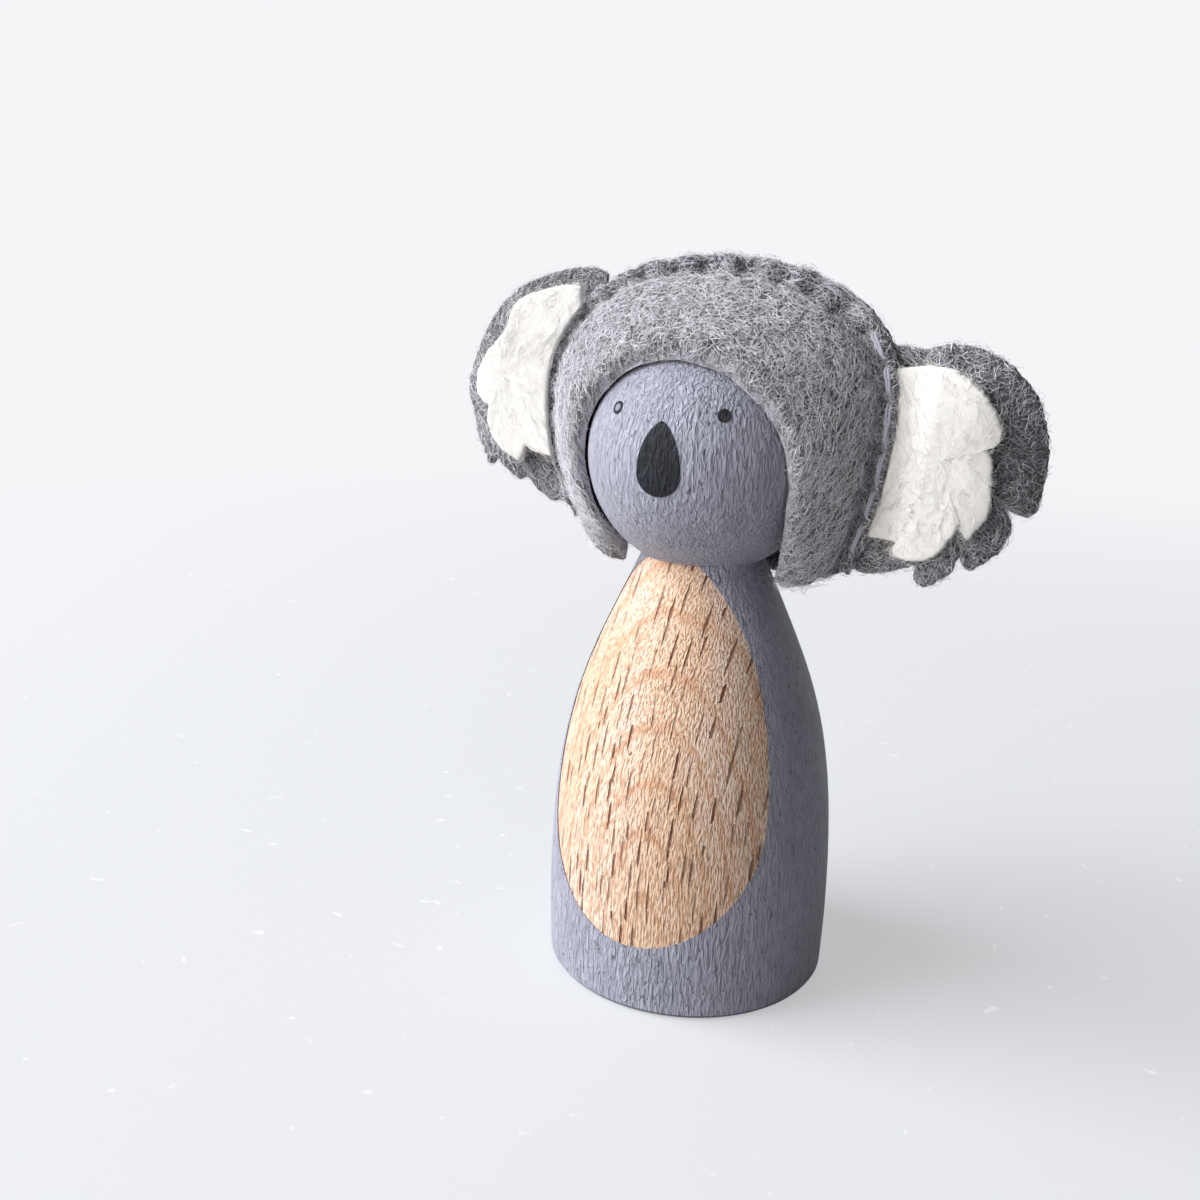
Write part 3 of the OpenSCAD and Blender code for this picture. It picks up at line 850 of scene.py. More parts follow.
    def sample(
        self, row: np.ndarray, along: np.ndarray
    ) -> tuple[np.ndarray, np.ndarray, np.ndarray]:
        """Find points between the grid's own.

        Args:
            row: Row numbers, with parts.
            along: Ways across the section in millimetres, on a sheet of mean width.

        Returns:
            Points, normals and the length of one row step there.
        """
        rows, columns = self.points.shape[:2]
        column = np.interp(along, self.column_at, np.arange(columns))
        row = row % rows if self.ringed else np.clip(row, 0, rows - INSIDE)
        i, j = np.floor(row).astype(int), np.minimum(np.floor(column).astype(int), columns - 2)
        a, b = (row - i)[:, None], (column - j)[:, None]
        i_next = (i + 1) % rows if self.ringed else np.minimum(i + 1, rows - 1)
        found = []
        for grid in (self.points, self.normals, self.row_step[..., None]):
            low = grid[i, j] * (1 - b) + grid[i, j + 1] * b
            high = grid[i_next, j] * (1 - b) + grid[i_next, j + 1] * b
            found.append(low * (1 - a) + high * a)
        return found[0], unit(found[1]), found[2][:, 0]

    def scatter(
        self, count: int, rng: np.random.Generator, weigh: Weigh | None
    ) -> tuple[np.ndarray, np.ndarray]:
        """Pick even random places on the skin, fewer where it is pressed down or cut.

        Args:
            count: How many.
            rng: The source of chance.
            weigh: Gives a weight for each point from points and normals.

        Returns:
            Row numbers and ways across, as sample takes them.
        """
        row_share = (self.row_length / self.row_length.mean())[:, None]
        area = self.row_step * np.gradient(self.column_at)[None, :] * row_share
        area = area * (1 - 0.8 * self.pressed) * (1 - 0.95 * self.cut)
        if weigh is not None:
            area = area * weigh(self.points, self.normals)
        if not self.ringed:
            area[[0, -1]] = 0
        chance = area.ravel() / area.sum()
        picked = rng.choice(area.size, count, p=chance)
        row, column = np.divmod(picked, area.shape[1])
        row = row + rng.uniform(-0.5, 0.5, count)
        column = np.clip(column + rng.uniform(-0.5, 0.5, count), 0, area.shape[1] - INSIDE)
        return row, np.interp(column, np.arange(area.shape[1]), self.column_at)


def edge_spacing(length: np.ndarray, rim: float, middle: int, both: bool) -> np.ndarray:
    """Space points across a section, close together at its rounded edge.

    Args:
        length: Length of each section in millimetres.
        rim: Depth of the edge's rounding.
        middle: How many even steps lie between the edges.
        both: Whether the far end is an edge as well.

    Returns:
        Ways from the edge, sections by points.
    """
    near = EDGE_STEPS * rim
    far = length[:, None] - near[::-1] if both else length[:, None]
    even = near[-1] + (far[:, :1] - near[-1]) * np.arange(1, middle) / middle
    return np.concatenate([np.tile(near, (len(length), 1)), even, far], axis=1)


def half_thickness(way: np.ndarray, rim: float, felt: float) -> np.ndarray:
    """Give half the felt's thickness at a way from its cut edge, which is rounded over."""
    part = np.clip(1 - way / rim, 0, 1)
    return felt / 2 * np.power(np.maximum(1 - part**EDGE_POWER, 0), 1 / EDGE_POWER)


def section_lengths(lines: np.ndarray) -> np.ndarray:
    """Give the length of each line in lines by points by values, places first."""
    return np.linalg.norm(np.diff(lines[..., :3], axis=1), axis=-1).sum(1)


def resample(curves: np.ndarray, ways: np.ndarray) -> np.ndarray:
    """Read curves at ways along them.

    Args:
        curves: Curves by points by any number of values, the first three of them places.
        ways: Curves by ways, in millimetres from each curve's start.

    Returns:
        Curves by ways by values.
    """
    return np.stack([read_line(c, ways_along(c[:, :3]), w) for c, w in zip(curves, ways)])


def wrapped(face: np.ndarray, other: np.ndarray) -> np.ndarray:
    """Join the values of a sheet's two faces into a section that runs round both its edges."""
    return np.concatenate([face, other[:, -2:0:-1]], axis=1)


def folded(under: np.ndarray, over: np.ndarray) -> np.ndarray:
    """Join the values of a sheet's two faces into a section that runs from pole to pole."""
    return np.concatenate([under[:, ::-1], over[:, 1:]], axis=1)


# Fibres


@dataclass(frozen=True)
class Fuzz:
    """How the loose fibres of one felt lie.

    Args:
        count: How many there are.
        length: Shortest and longest, in millimetres.
        radius: Finest and thickest, in millimetres; drawn coarser than single wool hairs, so
            that they show.
        lift: Lowest and highest middle over the felt.
        rise: How far a free end stands off, least and most; 0 for one that lies flat.
        curl: How sharply it winds, in radians a step.
        tints: Darkest and lightest tint.
        joints: How many steps a fibre has.
        clear: How far its root stands off the felt.
    """

    count: int
    length: tuple[float, float] = (1.4, 3.4)
    radius: tuple[float, float] = (0.036, 0.060)
    lift: tuple[float, float] = (0.0, 0.10)
    rise: tuple[float, float] = (0.0, 0.0)
    curl: float = 0.5
    tints: tuple[float, float] = (0.0, 1.0)
    joints: int = 6
    clear: float = 0.012

    def paths(
        self, sheet: FeltSheet, rng: np.random.Generator, weigh: Weigh | None
    ) -> tuple[np.ndarray, np.ndarray, np.ndarray]:
        """Walk each fibre over the sheet.

        Args:
            sheet: The felt that it lies on.
            rng: The source of chance.
            weigh: Where the fibres are denser.

        Returns:
            Places and felt normals along each fibre, and how pressed the felt is at its start.
        """
        row, way = sheet.scatter(self.count, rng, weigh)
        rows, columns = sheet.pressed.shape
        column = np.interp(way, sheet.column_at, np.arange(columns)).astype(int)
        pressed = sheet.pressed[np.round(row).astype(int) % rows, column]
        heading = rng.uniform(0, 2 * np.pi, self.count)
        bend = rng.normal(0, self.curl, self.count)
        step = rng.uniform(*self.length, self.count) / self.joints
        lift = rng.uniform(*self.lift, self.count)
        rise = rng.uniform(*self.rise, self.count)
        places = np.empty((self.count, self.joints + 1, 3))
        normals = np.empty_like(places)
        ratio = sheet.row_length.mean() / sheet.row_length
        for k in range(self.joints + 1):
            share = k / self.joints
            place, normal, row_step = sheet.sample(row, way)
            height = self.clear + lift * np.sin(np.pi * share) + rise * share**1.6
            places[:, k] = place + normal * height[:, None]
            normals[:, k] = normal
            stretch = np.interp(row % len(ratio), np.arange(len(ratio)), ratio)
            row = row + step * np.cos(heading) / np.maximum(row_step, 0.05)
            way = way + step * np.sin(heading) * stretch
            heading = heading + bend + rng.normal(0, self.curl * 0.6, self.count)
        return places, normals, pressed

    def build(
        self, name: str, sheet: FeltSheet, seed: int, weigh: Weigh | None = None
    ) -> bpy.types.Object:
        """Make all the fibres one mesh of thin closed strands, each pointed at both ends.

        Args:
            name: The piece's name.
            sheet: The felt that they lie on.
            seed: Picks their draw of chance.
            weigh: Where they are denser.

        Returns:
            The new object.
        """
        rng = np.random.default_rng(seed)
        places, normals, pressed = self.paths(sheet, rng, weigh)
        radius = rng.uniform(*self.radius, self.count)
        # Fibres that start in a stitch dimple are darkened with painted shade
        tint = rng.uniform(*self.tints, self.count) * (1 - pressed)
        vertices, faces = strand_mesh(places, normals, radius)
        made = add_mesh(name, vertices, faces)
        add_values(made, "tint", np.repeat(tint, len(vertices) // self.count))
        return made


def strand_mesh(
    places: np.ndarray, normals: np.ndarray, radius: np.ndarray, sides: int = 3
) -> tuple[np.ndarray, list[np.ndarray]]:
    """Sweep thin strands along many paths at once.

    Args:
        places: Strands by points by three, in millimetres.
        normals: A direction across each strand at each point.
        radius: Each strand's radius.
        sides: How many sides a strand has.

    Returns:
        Vertices, and arrays of quads and triangles.
    """
    count, length = places.shape[:2]
    tangents = unit(np.gradient(places, axis=1))
    side = unit(np.cross(tangents, normals))
    up = np.cross(side, tangents)
    turn = (np.arange(sides) * 2 * np.pi / sides)[:, None]
    ring = side[:, 1:-1, None] * np.cos(turn) + up[:, 1:-1, None] * np.sin(turn)
    rings = places[:, 1:-1, None] + ring * radius[:, None, None, None]
    parts = [places[:, :1], rings.reshape(count, -1, 3), places[:, -1:]]
    vertices = np.concatenate(parts, axis=1)
    each = vertices.shape[1]
    k = np.arange(sides)
    k_next = (k + 1) % sides
    starts = 1 + np.arange(length - 2) * sides
    walls = [
        np.stack([low + k, low + k_next, high + k_next, high + k], -1)
        for low, high in zip(starts, starts[1:])
    ]
    first = np.stack([np.zeros(sides, int), 1 + k_next, 1 + k], -1)
    last = np.stack([np.full(sides, each - 1), starts[-1] + k, starts[-1] + k_next], -1)
    offsets = (np.arange(count) * each)[:, None, None]
    quads = (np.concatenate(walls)[None] + offsets).reshape(-1, 4)
    triangles = (np.concatenate([first, last])[None] + offsets).reshape(-1, 3)
    return vertices.reshape(-1, 3), [quads, triangles]


# The hood

# Where the points of a panel's sewn flange lie, from its edge to its seam
FLANGE = np.linspace(0, 1, 9)[None, :-1, None]


@dataclass(frozen=True)
class StitchPull:
    """How the stitches draw the felt in, in millimetres; pairs are for slack and tight stitches.

    The crown's stitches are pulled tight, into grooves, and the right side's lie on the felt.
    """

    # Degrees from the crown over which they slacken
    slackens: tuple[float, float] = (44.0, 58.0)
    pinch_half_w: tuple[float, float] = (0.5, 1.05)
    edge_in: tuple[float, float] = (0.06, 0.14)
    edge_out: float = 0.1
    edge_reach: float = 2.2
    groove_depth: tuple[float, float] = (0.3, 0.12)
    groove_half_w: float = 0.42
    dimple_depth: tuple[float, float] = (0.5, 0.55)
    dimple_at: tuple[float, float] = (1.1, 1.4)
    dimple_half_w: tuple[float, float] = (0.65, 1.6)
    # Height, place and half width of the swelling between tight stitches, and at the edge of
    # slack ones
    puff: tuple[float, float, float] = (0.1, 1.7, 1.5)
    edge_puff: tuple[float, float, float] = (0.12, 0.3, 0.4)


@dataclass(frozen=True)
class HoodForm:
    """The hood's curves: the head's middle is the origin and y runs back.

    They are the solids' own, but the right side hangs looser, the upper left corner and the
    lip's ends draw in, and the nape's hem is lower. Pairs are for the left and the right.
    """

    head_z: float = 64.5
    clear_r: float = 14.47
    roll: float = 4.0
    felt: float = 1.5
    rim_half_w: float = 21.5
    rim_z: float = 5.3
    rim_up: float = 16.9
    rim_down: float = 25.0
    rim_corners: tuple[float, float] = (0.98, 0.8)
    rim_shares: tuple[float, float] = (1.0, 0.74)
    hem_angle: float = 130.0
    lip_half_w: float = 12.6
    lip_z: float = -1.5
    lip_up: float = 12.4
    lip_downs: tuple[float, float] = (19.3, 17.3)
    lip_share: float = 0.74
    lip_ends_y: tuple[float, float] = (3.4, 2.4)
    jaw_half_w: float = 7.6
    jaw_angle: float = 30.0
    swell: float = 2.2
    seam_w: float = 2.0
    hem_sags: tuple[float, float] = (1.4, 1.7)
    sag_power: float = 8.0
    # How suddenly the back panel's hem drops from the rim to the nape
    hem_powers: tuple[int, int] = (4, 2)
    nape_z: float = -15.5
    nape_y: float = 12.0
    thread_in: float = 1.2
    pull: StitchPull = StitchPull()
    # Angles round the rim, in degrees from the crown, at which the thread bites through the felt
    bites: tuple[float, ...] = (
        -128, -117, -106, -95, -83, -70, -57, -43, -30, -18, -7,
        4, 15, 26.5, 39.5, 53, 68, 81, 94, 104, 114, 124.5,
    )

    def rim(self, angle: np.ndarray) -> np.ndarray:
        """Give x and z on the rim at angles in degrees from the crown.

        Args:
            angle: Angles, less than 0 on the left.

        Returns:
            A row of x and z for each angle.
        """
        a, over = np.radians(np.abs(angle)), np.radians(np.abs(angle) - 90)
        corner = np.where(angle < 0, *self.rim_corners)
        top_x, top_z = np.abs(np.sin(a)) ** corner, np.abs(np.cos(a)) ** corner
        upper = np.abs(angle) <= 90
        low_x = np.cos(over * np.where(angle < 0, *self.rim_shares))
        x = np.where(upper, top_x, low_x) * self.rim_half_w * np.sign(angle)
        z = self.rim_z + np.where(upper, self.rim_up * top_z, -self.rim_down * np.sin(over))
        return np.stack([x, z], -1)

    def lip(self, angle: np.ndarray) -> np.ndarray:
        """Give the face opening's inner lip at angles in degrees from the crown.

        Below the widest place the left side draws in under the jaw, and the right side hangs.

        Args:
            angle: Angles, less than 0 on the left.

        Returns:
            A place for each angle.
        """
        a, over = np.radians(np.abs(angle)), np.radians(np.abs(angle) - 90)
        upper, left = np.abs(angle) <= 90, angle < 0
        drawn = np.clip(over / np.radians(self.jaw_angle), 0, 1) * np.pi / 2
        jaw = self.jaw_half_w + (self.lip_half_w - self.jaw_half_w) * np.cos(drawn)
        low_x = np.where(left, jaw, self.lip_half_w * np.cos(over * self.lip_share))
        x = np.where(upper, np.sin(a) * self.lip_half_w, low_x) * np.sign(angle)
        down = np.where(left, *self.lip_downs)
        z = self.lip_z + np.where(upper, self.lip_up * np.cos(a), -down * np.sin(over))
        fit_y = -np.sqrt(np.maximum(self.clear_r**2 - x**2 - z**2, 0))
        side_y = -np.sqrt(self.clear_r**2 - self.lip_half_w**2 - self.lip_z**2)
        left_end, right_end = self.lip_ends_y
        hanging = (side_y + right_end) * np.cos(over * 90 / (self.hem_angle - 90)) - right_end
        y = np.where(upper, fit_y, np.where(left, np.minimum(fit_y, -left_end), hanging))
        return np.stack([x, y, z], -1)

    def outwards(self, xz: np.ndarray) -> np.ndarray:
        """Give the directions, in x and z, that point out of the rim."""
        return unit(xz - np.array([0, self.rim_z]))

    def placed(self, points: np.ndarray) -> np.ndarray:
        """Lean the hood and stand it on the head's middle."""
        c, s = np.cos(np.radians(self.roll)), np.sin(np.radians(self.roll))
        x, y, z = np.moveaxis(points, -1, 0)
        return np.stack([x * c + z * s, y, self.head_z - x * s + z * c], -1)

    def stitched(
        self, angle: np.ndarray, way: np.ndarray, facing: np.ndarray
    ) -> tuple[np.ndarray, np.ndarray, np.ndarray]:
        """Tell how the stitches draw the felt in near the rim.

        Args:
            angle: Degrees round the rim from the crown, one row each.
            way: Ways from the rim's edge in millimetres.
            facing: 1 on the felt's outer face and -1 on its inner one.

        Returns:
            How far the edge moves outwards, how far the face moves along its normal, and how
            pressed it is.
        """
        p = self.pull
        bites = self.rim(np.array(self.bites))
        away = np.linalg.norm(self.rim(angle[:, 0])[:, None] - bites[None], axis=-1)
        tight = 1 - smoothstep(*p.slackens, angle)
        pinch = swelling(away.min(1)[:, None], between(p.pinch_half_w, tight))
        edge_move = (p.edge_out - between(p.edge_in, tight) * pinch) * swelling(way, p.edge_reach)
        groove = swelling(way - self.thread_in, p.groove_half_w)
        dimple = swelling(way - between(p.dimple_at, tight), between(p.dimple_half_w, tight))
        dent = -between(p.groove_depth, tight) * groove
        dent = dent - between(p.dimple_depth, tight) * pinch * dimple
        swells = ((p.puff, tight * (1 - pinch)), (p.edge_puff, 1 - tight))
        for (height, at, half_w), where in swells:
            dent = dent + height * where * swelling(way - at, half_w)
        pressed = np.clip(pinch * dimple * 0.95 + 0.3 * groove * (1 - tight), 0, 1)
        outside = facing > 0
        return edge_move, dent * outside, pressed * outside


@dataclass
class Panel:
    """What both hood panels share: felt laid along lines that run in from their edge.

    Args:
        form: The hood's curves.
        lumps: The felt's unevenness: height and period in millimetres, and seed, of each noise.
        middle: How many even steps lie between a line's ends.
        rows: How many lines there are.
        rim_round: Depth of the edge's rounding.
        sheet: The felt, once it is shaped.
    """

    form: HoodForm
    lumps: tuple[tuple[float, float, int], ...]
    middle: int
    rows: int = 400
    rim_round: float = 0.55
    sheet: FeltSheet = field(init=False)

    def spaced(
        self, parts: tuple[tuple[np.ndarray, np.ndarray], ...], both: bool
    ) -> tuple[np.ndarray, ...]:
        """Read the lines at points that crowd together at their rounded ends.

        Args:
            parts: Places and normals of the lines' parts, in order.
            both: Whether a line's far end is an edge as well.

        Returns:
            Lengths of the lines, ways of the points, their places and their normals, and half
            the felt's thickness there.
        """
        lines = np.concatenate([np.concatenate(part, -1) for part in parts], axis=1)
        length = section_lengths(lines)
        ways = edge_spacing(length, self.rim_round, self.middle, both)
        read = resample(lines, ways)
        half = half_thickness(ways, self.rim_round, self.form.felt)
        return length, ways, read[..., :3], unit(read[..., 3:]), half

    def lay(
        self, points: np.ndarray, ringed: bool, dent: np.ndarray, calm: float | np.ndarray
    ) -> None:
        """Make the sheet, and press its dents and its unevenness into it.

        Args:
            points: Places in the hood's frame.
            ringed: Whether the last row meets the first.
            dent: How far the stitches move each point.
            calm: How much of both is left at each point.
        """
        self.sheet = FeltSheet(self.form.placed(points), ringed)
        self.sheet.shift((dent + unevenness(self.sheet.points, *self.lumps)) * calm)


@dataclass
class FrontPanel(Panel):
    """The front of the hood, from its sewn rim to the lip round the face.

    Args:
        end_start: Way from the panel's end that its first row counts for, where it is thin.
        end_step: The way that each row after it adds.
        cut_slope: Depth of the bevel where the felt was cut, along the face.
        cut_round: How softly the bevel meets the face, as a share of its depth.
        cut_lean: How far the bevel's edge lies towards the felt's inner face.
    """

    lumps: tuple[tuple[float, float, int], ...] = ((0.16, 4.2, 1), (0.09, 1.4, 2), (0.055, 0.5, 3))
    middle: int = 56
    end_start: float = 0.06
    end_step: float = 0.25
    cut_slope: float = 1.4
    cut_round: float = 0.15
    cut_lean: float = 0.85

    def middle_surface(
        self, angle: np.ndarray
    ) -> tuple[tuple[np.ndarray, np.ndarray], tuple[np.ndarray, np.ndarray]]:
        """Draw the felt's middle line from the rim to the lip.

        Args:
            angle: Degrees round the rim from the crown, one for each line.

        Returns:
            Places and normals of the flat flange at the rim, and of the curve from it to the lip.
        """
        f = self.form
        rim = f.rim(angle)
        out = f.outwards(rim)
        seam, lip = upright(rim - out * f.seam_w), f.lip(angle)
        d = seam - lip
        run = np.linalg.norm(d[:, [0, 2]], axis=1, keepdims=True)
        e = upright(d[:, [0, 2]]) / run
        control = (seam + lip) / 2 + unit(e * d[:, 1:2] - BACK * run) * f.swell
        t = np.linspace(0, 1, 60)[None, :, None]
        curve = (
            seam[:, None] * (1 - t) ** 2
            + control[:, None] * 2 * t * (1 - t)
            + lip[:, None] * t * t
        )
        slope = (control - seam)[:, None] * 2 * (1 - t) + (lip - control)[:, None] * 2 * t
        slope_e = (slope * e[:, None]).sum(-1, keepdims=True)
        normal = unit(BACK * slope_e - e[:, None] * slope[..., 1:2])
        turned = smoothstep(0, 0.3, t)
        normal = unit(normal * turned - BACK * (1 - turned))
        curve = curve + normal * f.felt / 2
        deepest = np.where(angle < 0, *f.hem_sags)[:, None]
        at_hem = (np.abs(angle)[:, None] / f.hem_angle) ** f.sag_power
        curve[..., 2] -= deepest * 4 * t[..., 0] * (1 - t[..., 0]) * at_hem
        flange = upright(rim, -f.felt / 2)[:, None] - upright(out)[:, None] * f.seam_w * FLANGE
        return (flange, np.broadcast_to(-BACK, flange.shape)), (curve, normal)

    def shape(self) -> FeltSheet:
        """Give the middle surface its thickness, rounded edges, stitch dimples and unevenness.

        Returns:
            The panel's sheet.
        """
        f = self.form
        angle = np.linspace(-f.hem_angle, f.hem_angle, self.rows)
        length, ways, place, normal, half = self.spaced(self.middle_surface(angle), True)
        row = np.arange(self.rows)
        from_end = np.minimum(row, self.rows - 1 - row) * self.end_step + self.end_start
        # Half of 2 is the whole, so this is a share
        half = half * half_thickness(from_end, self.rim_round, 2.0)[:, None]
        from_lip = (length[:, None] - ways) / self.cut_slope
        over = np.maximum(from_lip - 1 + self.cut_round, 0)
        sloped = from_lip - over**2 / (4 * self.cut_round)
        rise = np.where(from_lip < 1 + self.cut_round, sloped, 1)
        lean = self.cut_lean
        outer = place + normal * (half * (rise * (1 + lean) - lean))[..., None]
        inner = place - normal * (half * (lean + (1 - lean) * rise))[..., None]
        side = np.ones(ways.shape)
        pulled = f.stitched(angle[:, None], wrapped(ways, ways), wrapped(side, -side))
        edge_move, dent, pressed = pulled
        out = upright(f.outwards(f.rim(angle)))[:, None]
        self.lay(wrapped(outer, inner) + out * edge_move[..., None], False, dent, 1.0)
        self.sheet.pressed = pressed
        # The bevel gets fewer fibres and a paler tone, partly a painted highlight
        bevel = 1 - smoothstep(0.8, 1.1, from_lip)
        self.sheet.cut = wrapped(bevel, bevel)
        return self.sheet

    def stitch_point(self, angle: np.ndarray) -> tuple[np.ndarray, np.ndarray]:
        """Find the stitch line on the front felt.

        Args:
            angle: Degrees round the rim from the crown.

        Returns:
            Places on the felt's outer face, and its normals.
        """
        f = self.form
        row = (angle + f.hem_angle) / (2 * f.hem_angle) * (self.rows - 1)
        place, normal, _ = self.sheet.sample(row, np.full(len(angle), f.thread_in))
        return place, normal


@dataclass
class BackPanel(Panel):
    """The back of the hood: a dome from the rim over the back of the head to the nape."""

    lumps: tuple[tuple[float, float, int], ...] = ((0.2, 4.6, 4), (0.09, 1.4, 5), (0.055, 0.5, 6))
    middle: int = 48

    def edge(self, turn: np.ndarray) -> tuple[np.ndarray, np.ndarray, np.ndarray]:
        """Draw the panel's edge: the rim, and the hem below it.

        Args:
            turn: Degrees round the panel from the crown.

        Returns:
            x and z on the edge, how far out along the hem a point is, and whether it is on it.
        """
        f = self.form
        on_hem = np.abs(turn) > f.hem_angle
        part = np.where(on_hem, (180 - np.abs(turn)) / (180 - f.hem_angle), 1.0)
        end = f.rim(f.hem_angle * np.sign(turn))
        power = np.where(turn < 0, *f.hem_powers)
        low_z = f.nape_z + (end[:, 1] - f.nape_z) * part**power
        hem = np.stack([end[:, 0] * part, low_z], -1)
        rim = f.rim(np.clip(turn, -f.hem_angle, f.hem_angle))
        return np.where(on_hem[:, None], hem, rim), part, on_hem

    def depth(self, xz: np.ndarray) -> np.ndarray:
        """Give how far back the dome's inner face lies.

        Args:
            xz: Values of x and z, along the last axis.

        Returns:
            y for each.
        """
        f = self.form
        x, z = xz[..., 0], xz[..., 1]
        corner = np.where(x < 0, *f.rim_corners)
        high = np.maximum((z - f.rim_z) / f.rim_up, 0)
        upper = np.maximum(1 - high ** (2 / corner), 0) ** (corner / 2)
        low = np.minimum((f.rim_z - z) / f.rim_down, 1)
        lower = np.sqrt(np.maximum(1 - low**2, 0))
        half_w = f.rim_half_w * np.where(z > f.rim_z, upper, lower)
        over = f.clear_r * np.sqrt(1 - np.clip(z / (f.rim_z + f.rim_up), 0, 1) ** 2)
        under = f.clear_r - (f.clear_r - f.nape_y) * np.clip(z / f.nape_z, 0, 1.2) ** 2
        across = np.sqrt(np.maximum(1 - (x / np.maximum(half_w, 0.01)) ** 2, 0))
        return np.where(z > 0, over, under) * across

    def shape(self) -> FeltSheet:
        """Build the dome's middle surface, then its thickness, edges, dimples and unevenness.

        Returns:
            The panel's sheet.
        """
        f = self.form
        turn = -180 + (np.arange(self.rows) + 0.5) * 360 / self.rows
        edge, part, on_hem = self.edge(turn)
        inset = unit(edge) * (f.seam_w * part)[:, None]
        # Lines run from the seam to the pole, with shorter steps near the seam
        w = (np.linspace(0, 1, 64) ** 1.5)[None, :, None]
        xz = edge[:, None] - inset[:, None] - (edge - inset)[:, None] * w
        dome = upright(xz, self.depth(edge[:, None] * (1 - w)))
        across = np.gradient(dome, axis=1)
        normal = unit(np.cross(np.roll(dome, -1, 0) - np.roll(dome, 1, 0), across))
        # The lines meet at the pole, where the normal is plain: back and a little up
        normal[:, -3:] = np.array([0, 1.0, 0.1])
        normal = unit(normal)
        sewn_part = part[:, None, None] ** 2
        turned = smoothstep(0, 0.1, w) * sewn_part + (1 - sewn_part)
        normal = unit(normal * turned + BACK * (1 - turned))
        dome = dome + normal * f.felt / 2
        edge_y = np.where(on_hem, self.depth(edge), 0)
        rim = upright(edge, edge_y)[:, None] + normal[:, :1] * f.felt / 2
        flange = rim + (dome[:, :1] - rim) * FLANGE
        flat = np.broadcast_to(normal[:, :1], flange.shape)
        length, ways, place, normal, half = self.spaced(((flange, flat), (dome, normal)), False)
        outer, inner = place + normal * half[..., None], place - normal * half[..., None]
        all_ways, side = folded(ways, ways), np.ones(ways.shape)
        on_rim = np.clip(turn, -f.hem_angle, f.hem_angle)[:, None]
        pulled = f.stitched(on_rim, all_ways, folded(-side, side))
        edge_move, dent, pressed = (value * (~on_hem)[:, None] for value in pulled)
        points = folded(inner, outer) + upright(unit(edge))[:, None] * edge_move[..., None]
        self.lay(points, True, dent, smoothstep(0, 3, length[:, None] - all_ways))
        self.sheet.pressed = pressed
        return self.sheet

    def stitch_point(self, angle: np.ndarray) -> tuple[np.ndarray, np.ndarray]:
        """Find the stitch line on the back felt.

        Args:
            angle: Degrees round the rim from the crown.

        Returns:
            Places on the felt's outer face, and its normals.
        """
        row = (angle + 180) * self.rows / 360 - 0.5
        way = self.sheet.column_at[len(self.sheet.column_at) // 2] + self.form.thread_in
        place, normal, _ = self.sheet.sample(row, np.full(len(angle), way))
        return place, normal


